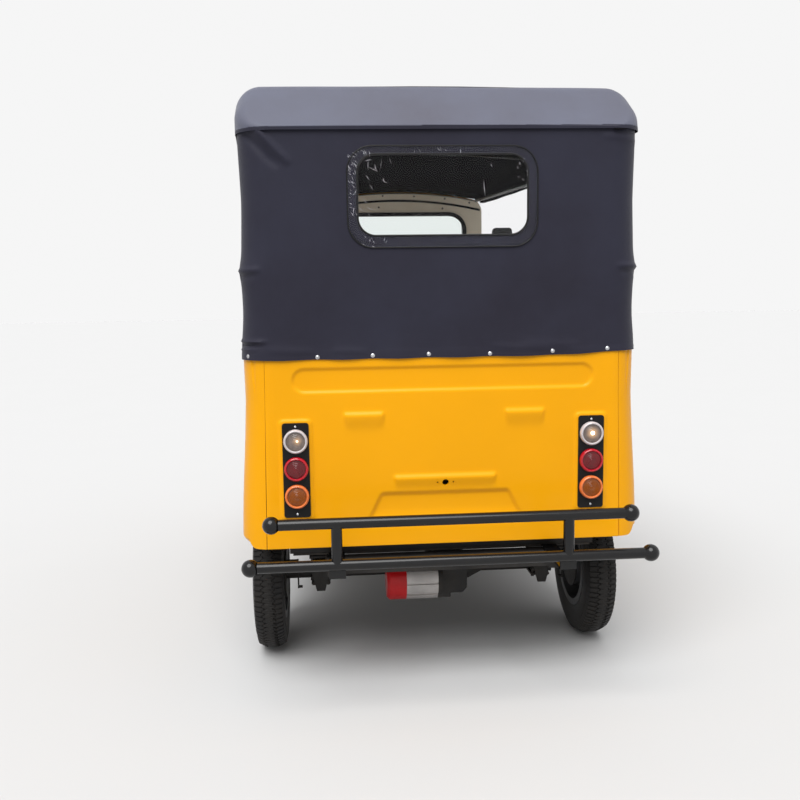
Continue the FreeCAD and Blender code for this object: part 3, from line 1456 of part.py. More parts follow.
def bow(distance, half_foot, foot):
    """Bent tube that follows the roof's inside at one place, with a leg and ferrule down each side."""
    inset = canvas + fit_gap + bow_tube + ferrule_wall
    apex, crown, corner = (roof_value(distance, column) for column in (3, 4, 5))
    place = lambda u, v: V(u, y(distance), v)
    edges = arch_edges(bow_half(distance), half_foot, foot, apex - inset, crown - inset,
                       corner - inset, place)
    path = Part.Wire(edges[1:4])
    start = edges[0].valueAt(edges[0].LastParameter)
    ring_wire = Part.Wire(Part.makeCircle(bow_tube, start, V(0, 0, 1)))
    pieces = [path.makePipeShell([ring_wire], True, True)]
    for edge, knee in ((edges[0], edges[0].LastParameter), (edges[4], edges[4].FirstParameter)):
        pieces.append(rod(bow_tube, edge.valueAt(edge.FirstParameter), edge.valueAt(edge.LastParameter)))
        top = edge.valueAt(knee)
        pieces.append(rod(bow_tube + ferrule_wall, top - V(0, 0, ferrule_length), top))
    return fuse(pieces)


def canopy_frame():
    """Bent tube bows, the side rails at the head and half way up, and the low rail round the rear."""
    foot_half = half_width_top - wall - bow_tube - weld_lap
    feet = (seat_rail_height, seat_rail_height, rail_high + floor_wall + frame_gap)
    halves = (foot_half, foot_half, bow_half(bow_places[2]) + bow_foot_splay)
    pieces = [bow(place, half, foot) for place, half, foot in zip(bow_places, halves, feet)]
    rise = side_rail_height + bow_tube - screen_foot_height
    screen_back = screen_foot_at - math.tan(math.radians(screen_lean)) * rise
    stations = [(place, bow_half(place) - side_rail_inset) for place in bow_places]
    stations.append((screen_back - head_rail_gap, screen_half_head - head_rail_inset))
    rails = []
    for (rear, rear_half), (front, front_half) in zip(stations, stations[1:]):
        start = at(rear_half, rear, side_rail_height)
        rails.append(rod(rail_tube, start, at(front_half, front, side_rail_height)))
        knuckle = Part.makeSphere(rail_tube)
        knuckle.translate(start)
        rails.append(knuckle)
    low_height = seat_rail_height + seat_rail_lift
    first, second = bow_places[:2]
    start = at(foot_half, first, low_height)
    rails.append(rod(rail_tube, start, start + V(0, second - first, 0)))
    knee = arch_knee(bow_half(first), roof_value(first, 3), roof_value(first, 4), roof_value(first, 5))
    share = (middle_rail_height - seat_rail_height) / (knee - seat_rail_height)
    middle_half = foot_half + share * (bow_half(first) - foot_half)
    start = at(middle_half, first, middle_rail_height)
    rails.append(rod(rail_tube, start, start + V(0, second - first, 0)))
    for rail in rails:
        pieces += pair(rail)
    pieces.append(rod(rail_tube, at(-foot_half, first, low_height), at(foot_half, first, low_height)))
    save("canopy_frame", [fuse(pieces)])


os.makedirs("parts", exist_ok=True)
chassis()
floor_pan()
rear_panel()
body_sides()
seat_box()
seats()
rear_bumper()
tail_lamps()
wheels()
rear_axle()
motor()
save("leaf_springs", pair(spring_pack()))
cab_nose()
front_lamps()
front_bumper()
windscreen()
dashboard()
mirrors()
wiper()
fork()
mudguard()
handlebar()
canopy()
canopy_frame()
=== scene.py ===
"""Dresses the frame of an auto rickshaw: paint, canvas, window, seats, tyres, lamps and a plain stage."""

import math
import random

import bmesh
import bpy
from mathutils import Matrix, Vector, noise


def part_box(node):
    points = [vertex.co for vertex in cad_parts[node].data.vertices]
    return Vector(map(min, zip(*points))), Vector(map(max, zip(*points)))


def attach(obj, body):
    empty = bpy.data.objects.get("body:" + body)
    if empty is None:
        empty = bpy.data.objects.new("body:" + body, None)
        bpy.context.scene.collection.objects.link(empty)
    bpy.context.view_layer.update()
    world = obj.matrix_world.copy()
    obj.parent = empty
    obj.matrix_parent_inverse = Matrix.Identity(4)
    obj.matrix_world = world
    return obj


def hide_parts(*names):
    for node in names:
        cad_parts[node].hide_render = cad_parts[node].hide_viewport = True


bl_info = {
    "name": "Auto rickshaw",
    "version": (1, 0, 0),
    "blender": (4, 5, 0),
    "location": "3D View > Sidebar > Rickshaw",
    "description": "Paint, canvas, seats, tyres and lamps for the frame of an auto rickshaw",
    "category": "Object",
}

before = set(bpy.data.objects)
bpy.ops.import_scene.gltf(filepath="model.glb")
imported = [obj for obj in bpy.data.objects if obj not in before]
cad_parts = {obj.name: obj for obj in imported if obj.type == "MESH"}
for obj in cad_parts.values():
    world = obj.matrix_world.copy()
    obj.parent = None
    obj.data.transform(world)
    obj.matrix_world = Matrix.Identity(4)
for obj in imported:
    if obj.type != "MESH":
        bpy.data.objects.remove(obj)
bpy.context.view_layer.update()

MM = 0.001
FULL_TURN = 2 * math.pi

# Places read from the frame, in metres; the panel plane is the outer face of the rear panel
panel_low, panel_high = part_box("rear_panel")
side_low, side_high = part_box("body_side_right")
panel_plane = side_low.y
panel_edge_half = panel_high.x
body_top = panel_high.z
curtain_low, curtain_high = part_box("canopy_curtain")
roof_low, roof_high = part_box("canopy_roof")
window_low, window_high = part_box("rear_window")
hem_line = curtain_low.z


def linear(red, green, blue):
    """Linear colour from the values of a paint chip, 0 to 255."""
    def channel(value):
        share = value / 255
        return share / 12.92 if share <= 0.04045 else ((share + 0.055) / 1.055) ** 2.4
    return channel(red), channel(green), channel(blue)


def lerp(low, high, share):
    return low + (high - low) * share


def smooth_step(low, high, value):
    share = min(max((value - low) / (high - low), 0.0), 1.0)
    return share * share * (3 - 2 * share)


def bump(distance, reach):
    """Soft hill of height 1 that falls away over a reach."""
    return math.exp(-(distance / reach) ** 2)


# Sizes and colours that a user would change


def length(name, description, default):
    return bpy.props.FloatProperty(name=name, description=description, default=default, unit="LENGTH",
                                   precision=4)


def colour(name, description, default):
    return bpy.props.FloatVectorProperty(name=name, description=description, default=default, size=3,
                                         min=0.0, max=1.0, subtype="COLOR")


class RickshawColours(bpy.types.PropertyGroup):
    paint: colour("Paint", "Body paint", linear(255, 176, 0))
    canvas: colour("Canvas", "Curtain of the canopy", linear(44, 44, 57))
    # The roof's colour is partly painted light: paler than the curtain's cloth to stand in for sky light on
    # its sloping top, and partly paler from weathering.
    roof: colour("Roof", "Roof of the canopy, paler from the painted_sky_light_and_weathering", linear(84, 87, 104))
    lining: colour("Lining", "Inside of the canopy", linear(24, 23, 27))
    tube: colour("Tube", "Black enamel of bumpers and frame", linear(9, 9, 11))
    # The liner's cream is raised above the paint's own cream as painted light, for the light that the roof
    # keeps off it.
    liner: colour("Liner", "Cream paint inside the windscreen frame", linear(250, 238, 214))
    seat: colour("Seat", "Vinyl of the seats", linear(38, 37, 40))
    rubber: colour("Rubber", "Tyres", linear(22, 21, 22))
    # The motor cap's red and the alloy's silver are their own colours, raised as painted light for the light
    # that the bumper's shade keeps off the motor.
    motor_cap: colour("Motor cap", "End cap of the motor", linear(226, 22, 30))
    alloy: colour("Alloy", "Cast housing of the motor", linear(216, 211, 208))
    floor: colour("Floor", "Studio floor", (0.63, 0.63, 0.63))


class RickshawCanvas(bpy.types.PropertyGroup):
    wall: length("Wall", "Thickness of the coated cloth", 1.2 * MM)
    inside: length("Set back", "Cloth's outer face behind the canopy's true outline", 1.5 * MM)
    hem: length("Hem", "Height of the sewn hem", 26 * MM)
    front_flap: length("Front flap", "How far the roof's front edge turns down over the windscreen's head",
                       26 * MM)
    rail_bulge: length("Rail bulge", "How far the side rail pushes the cloth out", 6 * MM)
    rail_height: length("Rail height", "Height of that rail", 1.352)
    sag: length("Sag", "How far the roof sinks between its bows", 7 * MM)


class RickshawWindow(bpy.types.PropertyGroup):
    border: length("Border", "How far the clear sheet laps over the cloth", 32 * MM)
    wall: length("Wall", "Thickness of the clear sheet", 0.9 * MM)
    welt: length("Welt", "Radius of the cord sewn round the sheet", 2.2 * MM)
    binding: length("Binding", "Radius of the bound edge of the opening", 3.2 * MM)
    stitch_pitch: length("Stitch pitch", "Distance between two stitches", 7 * MM)


class RickshawTyre(bpy.types.PropertyGroup):
    pitches: bpy.props.IntProperty(name="Pitches", description="Tread blocks round the tyre", default=84,
                                   min=12)
    groove_depth: length("Groove depth", "Depth of the two zigzag grooves", 6 * MM)
    groove_width: length("Groove width", "Width of a zigzag groove", 4.5 * MM)
    zigzag: length("Zigzag", "Half swing of a groove", 4 * MM)


class RickshawSeats(bpy.types.PropertyGroup):
    swell: length("Swell", "How far the padding may push out", 16 * MM)
    channel_pitch: length("Channel pitch", "Distance between two sewn channels", 0.105)
    channel_depth: length("Channel depth", "Depth of a sewn channel", 7 * MM)


class RickshawView(bpy.types.PropertyGroup):
    place: bpy.props.FloatVectorProperty(name="Place",
                                         description="Camera place, measured from the rear panel",
                                         default=(-0.3559, -2.6375, 1.283), size=3, unit="LENGTH")
    yaw: bpy.props.FloatProperty(name="Yaw", description="Turn to the left", default=-0.0817, unit="ROTATION")
    pitch: bpy.props.FloatProperty(name="Pitch", description="Downward tilt", default=0.1256, unit="ROTATION")
    roll: bpy.props.FloatProperty(name="Roll", description="Lean", default=-0.0145, unit="ROTATION")
    lens: bpy.props.FloatProperty(name="Lens", description="Focal length in millimetres", default=38.7)


# Shader node groups


def add_node(tree, kind, **values):
    node = tree.nodes.new(kind)
    for name, value in values.items():
        setattr(node, name, value)
    return node


def feed(tree, node, **inputs):
    """Sets or links inputs by name; an underscore stands for a space."""
    for name, value in inputs.items():
        socket = node.inputs[name.replace("_", " ")]
        if isinstance(value, bpy.types.NodeSocket):
            tree.links.new(value, socket)
        else:
            socket.default_value = value


def new_group(name, inputs, outputs):
    tree = bpy.data.node_groups.new(name, "ShaderNodeTree")
    for label, kind, default in inputs:
        socket = tree.interface.new_socket(label, in_out="INPUT", socket_type=kind)
        socket.default_value = default
    for label, kind in outputs:
        tree.interface.new_socket(label, in_out="OUTPUT", socket_type=kind)
    return tree, add_node(tree, "NodeGroupInput").outputs, add_node(tree, "NodeGroupOutput").inputs


def spread(tree, value, low, high, to_low=0.0, to_high=1.0):
    """Map Range from low..high to to_low..to_high, clamped."""
    node = add_node(tree, "ShaderNodeMapRange")
    feed(tree, node, Value=value)
    for name, number in (("From Min", low), ("From Max", high), ("To Min", to_low), ("To Max", to_high)):
        if isinstance(number, bpy.types.NodeSocket):
            tree.links.new(number, node.inputs[name])
        else:
            node.inputs[name].default_value = number
    return node.outputs["Result"]


def maths(tree, operation, first, second=0.0):
    node = add_node(tree, "ShaderNodeMath", operation=operation)
    for index, value in enumerate((first, second)):
        if isinstance(value, bpy.types.NodeSocket):
            tree.links.new(value, node.inputs[index])
        else:
            node.inputs[index].default_value = value
    return node.outputs["Value"]


def blend_colour(tree, mask, first, second):
    node = add_node(tree, "ShaderNodeMix", data_type="RGBA")
    colour_inputs = [socket for socket in node.inputs if socket.type == "RGBA"]
    for socket, value in zip([node.inputs["Factor"]] + colour_inputs, (mask, first, second)):
        if isinstance(value, bpy.types.NodeSocket):
            tree.links.new(value, socket)
        else:
            socket.default_value = value
    return next(socket for socket in node.outputs if socket.type == "RGBA")


def noise_of(tree, vector, scale, detail=3.0, roughness=0.5):
    node = add_node(tree, "ShaderNodeTexNoise")
    feed(tree, node, Vector=vector, Scale=scale, Detail=detail, Roughness=roughness)
    return node.outputs["Fac"]


def age_group():
    """Tired finish: patches of a second colour, road dust that thins with height, and uneven gloss."""
    tree, enter, leave = new_group("age", [
        ("Base", "NodeSocketColor", (0.5, 0.5, 0.5, 1)), ("Patch", "NodeSocketColor", (0.5, 0.5, 0.5, 1)),
        ("Dust", "NodeSocketColor", (0.3, 0.27, 0.23, 1)), ("Patch Scale", "NodeSocketFloat", 4.0),
        ("Patch Amount", "NodeSocketFloat", 0.5), ("Dust Amount", "NodeSocketFloat", 0.3),
        ("Dust Height", "NodeSocketFloat", 0.6), ("Gloss", "NodeSocketFloat", 0.3),
        ("Uneven", "NodeSocketFloat", 0.1),
    ], [("Color", "NodeSocketColor"), ("Roughness", "NodeSocketFloat")])
    place = add_node(tree, "ShaderNodeTexCoord").outputs["Object"]
    patch = spread(tree, noise_of(tree, place, enter["Patch Scale"], 4.0, 0.55), 0.38, 0.66)
    fine = noise_of(tree, place, 55.0, 3.0, 0.6)
    aged = blend_colour(tree, maths(tree, "MULTIPLY", patch, enter["Patch Amount"]), enter["Base"],
                        enter["Patch"])
    split = add_node(tree, "ShaderNodeSeparateXYZ")
    feed(tree, split, Vector=place)
    low = spread(tree, split.outputs["Z"], 0.0, enter["Dust Height"], 1.0, 0.0)
    cloud = spread(tree, noise_of(tree, place, 7.0, 5.0, 0.65), 0.3, 0.75)
    dust = maths(tree, "MULTIPLY", maths(tree, "MULTIPLY", low, cloud), enter["Dust Amount"])
    tree.links.new(blend_colour(tree, dust, aged, enter["Dust"]), leave["Color"])
    wave = maths(tree, "MULTIPLY", maths(tree, "SUBTRACT", maths(tree, "ADD", patch, fine), 1.0),
                 enter["Uneven"])
    rough = maths(tree, "ADD", maths(tree, "ADD", enter["Gloss"], wave), maths(tree, "MULTIPLY", dust, 0.5))
    tree.links.new(rough, leave["Roughness"])
    return tree


def grain_group():
    """Height of a pebbled surface: leather, cast metal or moulded plastic, by its scale."""
    tree, enter, leave = new_group("grain", [("Scale", "NodeSocketFloat", 300.0), ("Soft", "NodeSocketFloat",
                                                                                   0.5)],
                                   [("Height", "NodeSocketFloat")])
    place = add_node(tree, "ShaderNodeTexCoord").outputs["Object"]
    cells = add_node(tree, "ShaderNodeTexVoronoi", feature="SMOOTH_F1")
    feed(tree, cells, Vector=place, Scale=enter["Scale"])
    swell = noise_of(tree, place, maths(tree, "MULTIPLY", enter["Scale"], 0.3), 2.0)
    height = maths(tree, "ADD", cells.outputs["Distance"], maths(tree, "MULTIPLY", swell, enter["Soft"]))
    tree.links.new(height, leave["Height"])
    return tree


def weave_group():
    """Height of a plain weave seen through a coating, from a vector in metres."""
    tree, enter, leave = new_group("weave", [("Vector", "NodeSocketVector", (0, 0, 0)),
                                             ("Threads", "NodeSocketFloat", 900.0)],
                                   [("Height", "NodeSocketFloat")])
    waves = []
    for direction in ("X", "Y"):
        wave = add_node(tree, "ShaderNodeTexWave", bands_direction=direction)
        feed(tree, wave, Vector=enter["Vector"], Scale=enter["Threads"], Distortion=0.4, Detail=1.0)
        waves.append(wave.outputs["Fac"])
    slub = noise_of(tree, enter["Vector"], 140.0, 2.0)
    height = maths(tree, "ADD", maths(tree, "MULTIPLY", waves[0], waves[1]),
                   maths(tree, "MULTIPLY", slub, 0.6))
    tree.links.new(height, leave["Height"])
    return tree


def streak_group():
    """Mask of fine scratches: long thin noise, kept where a slow noise is strong."""
    tree, enter, leave = new_group("streaks", [("Scale", "NodeSocketFloat", 30.0), ("Amount",
                                                                                    "NodeSocketFloat", 0.5)],
                                   [("Mask", "NodeSocketFloat")])
    place = add_node(tree, "ShaderNodeTexCoord").outputs["Object"]
    mapping = add_node(tree, "ShaderNodeMapping")
    mapping.inputs["Rotation"].default_value = (0.4, 0.9, 0.3)
    mapping.inputs["Scale"].default_value = (1.0, 1.0, 14.0)
    feed(tree, mapping, Vector=place)
    lines = spread(tree, noise_of(tree, mapping.outputs["Vector"], enter["Scale"], 4.0, 0.7), 0.6, 0.7)
    where = spread(tree, noise_of(tree, place, 3.0, 2.0), 0.5, 0.7)
    mask = maths(tree, "MULTIPLY", maths(tree, "MULTIPLY", lines, where), enter["Amount"])
    tree.links.new(mask, leave["Mask"])
    return tree


groups = {}


def group_node(tree, name, **inputs):
    """A group placed in a material; the group is built when it is first asked for."""
    makers = {"age": age_group, "grain": grain_group, "weave": weave_group, "streaks": streak_group}
    if name not in groups:
        groups[name] = makers[name]()
    node = add_node(tree, "ShaderNodeGroup")
    node.node_tree = groups[name]
    feed(tree, node, **inputs)
    return node.outputs


def opaque(values):
    return (*values[:3], 1.0)


def new_material(name, **sockets):
    """Material with constants set straight on its Principled shader."""
    material = bpy.data.materials.new(name)
    material.use_nodes = True
    shader = material.node_tree.nodes["Principled BSDF"]
    feed(material.node_tree, shader, **sockets)
    return material, material.node_tree, shader


def raise_surface(tree, shader, height, strength, distance):
    node = add_node(tree, "ShaderNodeBump")
    feed(tree, node, Height=height, Strength=strength, Distance=distance)
    tree.links.new(node.outputs["Normal"], shader.inputs["Normal"])


def aged_material(name, base, patch, patch_scale, patch_amount, dust, dust_height, gloss, uneven, metallic,
                  coat, grain, grain_strength, shine):
    """One row of the table of finishes made into a material."""
    material, tree, shader = new_material(name, Metallic=metallic, Coat_Weight=coat, Coat_Roughness=0.12,
                                          Specular_IOR_Level=shine)
    age = group_node(tree, "age", Base=opaque(base), Patch=opaque(patch), Patch_Scale=patch_scale,
                     Patch_Amount=patch_amount, Dust_Amount=dust, Dust_Height=dust_height, Gloss=gloss,
                     Uneven=uneven)
    feed(tree, shader, Base_Color=age["Color"], Roughness=age["Roughness"])
    pebble = group_node(tree, "grain", Scale=grain, Soft=0.6)
    raise_surface(tree, shader, pebble["Height"], grain_strength, 0.4 * MM)
    return material


def hard_finishes(colours):
    """Materials of the rigid pieces, by name."""
    paint = tuple(colours.paint)
    deep_paint = tuple(value * 0.90 for value in paint)
    tube = tuple(colours.tube)
    grey_tube = tuple(value * 1.6 + 0.001 for value in tube)
    # columns: name, base, patch, patch scale, patch amount, dust, dust height, gloss, uneven, metallic, coat,
    # grain scale, grain strength, shine
    rows = [
        ("yellow_paint", paint, deep_paint, 2.2, 0.5, 0.05, 0.75, 0.36, 0.05, 0.0, 0.05, 420, 0.03, 0.2),
        ("black_enamel", tube, grey_tube, 9, 0.5, 0.03, 0.75, 0.19, 0.04, 0.0, 0.0, 500, 0.03, 0.4),
        ("chassis_black", (0.010, 0.010, 0.011), (0.022, 0.018, 0.015), 11, 0.6, 0.22, 0.7, 0.5, 0.12, 0.0,
         0.0,
         380, 0.22, 0.25),
        # cream_paint: its base is the liner's cream with painted light, and its patch is the paint's own
        # cream.
        ("cream_paint", tuple(colours.liner), linear(216, 198, 168), 5, 0.4, 0.0, 0.8, 0.42, 0.06, 0.0, 0.1,
         420, 0.04, 0.3),
        # motor_red and cast_alloy: their bases are raised as painted light for the motor's shade under the
        # bumper.
        ("motor_red", tuple(colours.motor_cap), linear(190, 18, 24), 14, 0.5, 0.05, 0.5, 0.34, 0.08, 0.0, 0.1,
         600, 0.12, 0.3),
        ("cast_alloy", tuple(colours.alloy), linear(176, 172, 170), 12, 0.6, 0.08, 0.5, 0.42, 0.12, 0.25, 0.0,
         700, 0.3, 0.4),
        ("wheel_steel", linear(96, 98, 102), linear(66, 64, 64), 9, 0.7, 0.3, 0.6, 0.42, 0.12, 0.4, 0.1,
         500, 0.1, 0.4),
        ("spring_steel", linear(34, 33, 33), linear(66, 46, 34), 16, 0.6, 0.3, 0.55, 0.55, 0.14, 0.2, 0.0,
         400, 0.3, 0.3),
        ("bright_zinc", linear(206, 208, 212), linear(150, 148, 146), 22, 0.6, 0.1, 0.6, 0.3, 0.1, 0.95, 0.0,
         500, 0.06, 0.5),
        ("moulded_black", linear(18, 18, 19), linear(30, 30, 32), 6, 0.5, 0.08, 0.8, 0.46, 0.08, 0.0, 0.0,
         900, 0.35, 0.3),
        ("gasket_rubber", linear(12, 12, 13), linear(22, 22, 22), 8, 0.5, 0.05, 0.8, 0.5, 0.08, 0.0, 0.0,
         700, 0.1, 0.2),
        ("floor_rubber", linear(34, 34, 35), linear(60, 57, 52), 3, 0.7, 0.5, 0.9, 0.72, 0.1, 0.0, 0.0,
         260, 0.5, 0.3),
        ("lamp_plate", linear(16, 16, 17), linear(24, 24, 26), 7, 0.4, 0.05, 0.9, 0.4, 0.06, 0.0, 0.0, 900,
         0.25, 0.2),
        # Near-black of the joint over the windscreen and of the painted shade in its screw holes.
        ("painted_hole_shade_and_joint", (0.004, 0.004, 0.004), (0.01, 0.01, 0.01), 9, 0.4, 0.0, 0.5, 0.8, 0.05, 0.0, 0.0, 300,
         0.1,
         0.1),
        ("rim_red", linear(196, 18, 40), linear(150, 8, 26), 60, 0.4, 0.0, 0.5, 0.18, 0.03, 0.0, 0.3, 900,
         0.05, 0.4),
        ("core_red", linear(110, 6, 16), linear(76, 3, 10), 40, 0.5, 0.0, 0.5, 0.22, 0.04, 0.0, 0.2, 900, 0.1,
         0.4),
        ("rim_amber", linear(240, 128, 66), linear(214, 96, 34), 60, 0.4, 0.0, 0.5, 0.18, 0.03, 0.0, 0.3, 900,
         0.05,
         0.4),
        ("core_amber", linear(150, 78, 22), linear(116, 56, 14), 40, 0.5, 0.0, 0.5, 0.22, 0.04, 0.0, 0.2, 900,
         0.1,
         0.4),
        ("rim_clear", linear(214, 206, 208), linear(176, 168, 170), 60, 0.4, 0.0, 0.5, 0.16, 0.03, 0.0, 0.4,
         900,
         0.05, 0.5),
    ]
    return {row[0]: aged_material(*row) for row in rows}


def clear_material(name, tint, roughness, ior):
    """Clear glass or sheet, with a faint film that roughens it in patches."""
    material, tree, shader = new_material(name, Base_Color=opaque(tint), Metallic=0.0,
                                          Transmission_Weight=1.0,
                                          IOR=ior)
    place = add_node(tree, "ShaderNodeTexCoord").outputs["Object"]
    film = spread(tree, noise_of(tree, place, 6.0, 4.0, 0.6), 0.45, 0.8, roughness, roughness + 0.07)
    feed(tree, shader, Roughness=film)
    ripple = noise_of(tree, place, 9.0, 2.0)
    raise_surface(tree, shader, ripple, 0.08, 2 * MM)
    return material


def lamp_dish_material(name, base, halo_tint, bulbs):
    """Ringed dish behind a clear lens, which glows round its bulb; bulbs are places and strengths."""
    material, tree, shader = new_material(name, Coat_Weight=0.5, Coat_Roughness=0.06, Emission_Strength=1.0)
    place = add_node(tree, "ShaderNodeTexCoord").outputs["Object"]
    cloud = spread(tree, noise_of(tree, place, 90.0, 2.0), 0.35, 0.65)
    feed(tree, shader, Base_Color=blend_colour(tree, cloud, opaque(base),
                                               opaque(tuple(v * 0.6 for v in base))))
    feed(tree, shader, Roughness=spread(tree, cloud, 0.0, 1.0, 0.2, 0.3))
    glow = 0.0
    for spot, strength, reach in bulbs:
        away = add_node(tree, "ShaderNodeVectorMath", operation="DISTANCE")
        tree.links.new(place, away.inputs[0])
        away.inputs[1].default_value = spot
        near = spread(tree, away.outputs["Value"], 2 * MM, reach, 1.0, 0.0)
        glow = maths(tree, "ADD", maths(tree, "MULTIPLY", maths(tree, "MULTIPLY", near, near), strength),
                     glow)
    feed(tree, shader, Emission_Color=blend_colour(tree, glow, (0.0, 0.0, 0.0, 1.0), opaque(halo_tint)))
    return material


def glowing_material(name, tint, strength):
    material, tree, shader = new_material(name, Roughness=0.3, Emission_Strength=strength)
    place = add_node(tree, "ShaderNodeTexCoord").outputs["Object"]
    filament = spread(tree, noise_of(tree, place, 160.0, 2.0), 0.3, 0.7)
    warm = blend_colour(tree, filament, opaque(tint), (1.0, 0.86, 0.66, 1.0))
    feed(tree, shader, Base_Color=warm, Emission_Color=warm)
    return material


def canvas_material(name, base, sheen, gloss, threads_strength, shine=0.25):
    """Coated cloth on its own map in metres: weave under the coating, cloudy tone and rubbed patches."""
    material, tree, shader = new_material(name, Sheen_Weight=sheen, Sheen_Roughness=0.5,
                                          Specular_IOR_Level=shine)
    sheet_map = add_node(tree, "ShaderNodeUVMap", uv_map="UVMap").outputs["UV"]
    place = add_node(tree, "ShaderNodeTexCoord").outputs["Object"]
    cloud = spread(tree, noise_of(tree, place, 2.6, 4.0, 0.6), 0.35, 0.7)
    light = tuple(min(value * 1.16 + 0.003, 1.0) for value in base)
    warm = (base[0], base[1] * 0.93, base[2] * 0.88)
    tone = blend_colour(tree, cloud, opaque(light), opaque(warm))
    rub = group_node(tree, "streaks", Scale=26.0, Amount=0.25)["Mask"]
    feed(tree, shader, Base_Color=blend_colour(tree, rub, tone, opaque(tuple(value * 2.2 for value in base))))
    feed(tree, shader, Roughness=spread(tree, cloud, 0.0, 1.0, gloss, gloss + 0.08))
    weave = group_node(tree, "weave", Vector=sheet_map, Threads=320.0)["Height"]
    raise_surface(tree, shader, weave, threads_strength, 0.35 * MM)
    return material


def vinyl_material(name, base):
    material, tree, shader = new_material(name, Coat_Weight=0.12, Coat_Roughness=0.35)
    age = group_node(tree, "age", Base=opaque(base),
                     Patch=opaque(tuple(value * 1.7 + 0.004 for value in base)),
                     Patch_Scale=5.0, Patch_Amount=0.5, Dust_Amount=0.12, Dust_Height=1.4, Gloss=0.44,
                     Uneven=0.1)
    feed(tree, shader, Base_Color=age["Color"], Roughness=age["Roughness"])
    pebble = group_node(tree, "grain", Scale=520.0, Soft=0.9)
    raise_surface(tree, shader, pebble["Height"], 0.45, 0.5 * MM)
    return material


def rubber_material(name, base):
    material, tree, shader = new_material(name, Sheen_Weight=0.05, Sheen_Roughness=0.5,
                                          Specular_IOR_Level=0.25)
    age = group_node(tree, "age", Base=opaque(base), Patch=opaque(linear(38, 36, 34)), Patch_Scale=14.0,
                     Patch_Amount=0.5, Dust=opaque(linear(104, 97, 88)), Dust_Amount=0.16, Dust_Height=0.7,
                     Gloss=0.62, Uneven=0.1)
    feed(tree, shader, Base_Color=age["Color"], Roughness=age["Roughness"])
    pebble = group_node(tree, "grain", Scale=800.0, Soft=0.5)
    raise_surface(tree, shader, pebble["Height"], 0.3, 0.3 * MM)
    return material


finishes = {}


def finish_named(name):
    if not finishes:
        colours = bpy.context.scene.rickshaw_colours
        finishes.update(hard_finishes(colours))
        canvas = tuple(colours.canvas)
        finishes.update({
            "canvas": canvas_material("canvas", canvas, 0.02, 0.42, 0.35, 0.12),
            # The roof's cloth is a paler copy of the curtain's cloth, painted as lit by the sky.
            "roof_canvas": canvas_material("roof_canvas", tuple(colours.roof), 0.06, 0.4, 0.35, 0.4),
            "lining": canvas_material("lining", tuple(colours.lining), 0.0, 0.8, 0.25, 0.0),
            "binding_tape": canvas_material("binding_tape", linear(8, 8, 10), 0.0, 0.3, 0.2, 0.35),
            "seat_vinyl": vinyl_material("seat_vinyl", tuple(colours.seat)),
            "tyre_rubber": rubber_material("tyre_rubber", tuple(colours.rubber)),
            "window_vinyl": clear_material("window_vinyl", (0.97, 0.97, 0.98), 0.02, 1.18),
            "screen_glass": clear_material("screen_glass", (0.90, 0.96, 0.93), 0.01, 1.2),
            "scuff_white": canvas_material("scuff_white", linear(210, 210, 220), 0.0, 0.5, 0.1),
            "core_clear": lamp_dish_material("core_clear", linear(128, 112, 104), linear(255, 196, 130),
                                             bulb_halos()),
            "lamp_glass": clear_material("lamp_glass", (0.95, 0.96, 0.97), 0.02, 1.45),
            "bulb_warm": glowing_material("bulb_warm", (1.0, 0.80, 0.50), 6.0),
            "bulb_dim": glowing_material("bulb_dim", (1.0, 0.66, 0.48), 1.6),
        })
    return finishes[name]


# Modelling helpers


def choose(piece):
    bpy.ops.object.select_all(action="DESELECT")
    piece.select_set(True)
    bpy.context.view_layer.objects.active = piece


def mesh_piece(name, points, edges=(), faces=()):
    mesh = bpy.data.meshes.new(name)
    mesh.from_pydata([tuple(point) for point in points], list(edges), list(faces))
    piece = bpy.data.objects.new(name, mesh)
    bpy.context.scene.collection.objects.link(piece)
    return piece


def settle(piece):
    """Puts the object's place, turn and scale into its mesh."""
    choose(piece)
    bpy.ops.object.transform_apply(location=True, rotation=True, scale=True)


def merge_outwards(piece, distance=0.01 * MM):
    choose(piece)
    bpy.ops.object.mode_set(mode="EDIT")
    bpy.ops.mesh.select_all(action="SELECT")
    bpy.ops.mesh.remove_doubles(threshold=distance)
    bpy.ops.mesh.normals_make_consistent(inside=False)
    bpy.ops.object.mode_set(mode="OBJECT")


def apply_modifier(piece, kind, **values):
    """Adds a modifier, sets it and applies it."""
    choose(piece)
    modifier = piece.modifiers.new(kind.title(), kind)
    for name, value in values.items():
        setattr(modifier, name, value)
    bpy.ops.object.modifier_apply(modifier=modifier.name)


def smooth(piece, degrees=40):
    choose(piece)
    bpy.ops.object.shade_smooth_by_angle(angle=math.radians(degrees))


def dress(piece, body, materials, replaces=None):
    """Last steps of every piece: materials by name, the body it rides on and what it stands for."""
    chosen = [face.material_index for face in piece.data.polygons]
    piece.data.materials.clear()
    for name in materials:
        piece.data.materials.append(finish_named(name))
    for face, index in zip(piece.data.polygons, chosen):
        face.material_index = min(index, len(materials) - 1)
    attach(piece, body)
    if replaces:
        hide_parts(*replaces)
    return piece


def node_copy(node, name):
    """The node's own mesh as a new piece, its faces joined along their edges."""
    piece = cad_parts[node].copy()
    piece.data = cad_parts[node].data.copy()
    piece.name = name
    piece.parent = None
    for key in list(piece.keys()):
        del piece[key]
    bpy.context.scene.collection.objects.link(piece)
    piece.matrix_world = Matrix.Identity(4)
    merge_outwards(piece)
    return piece


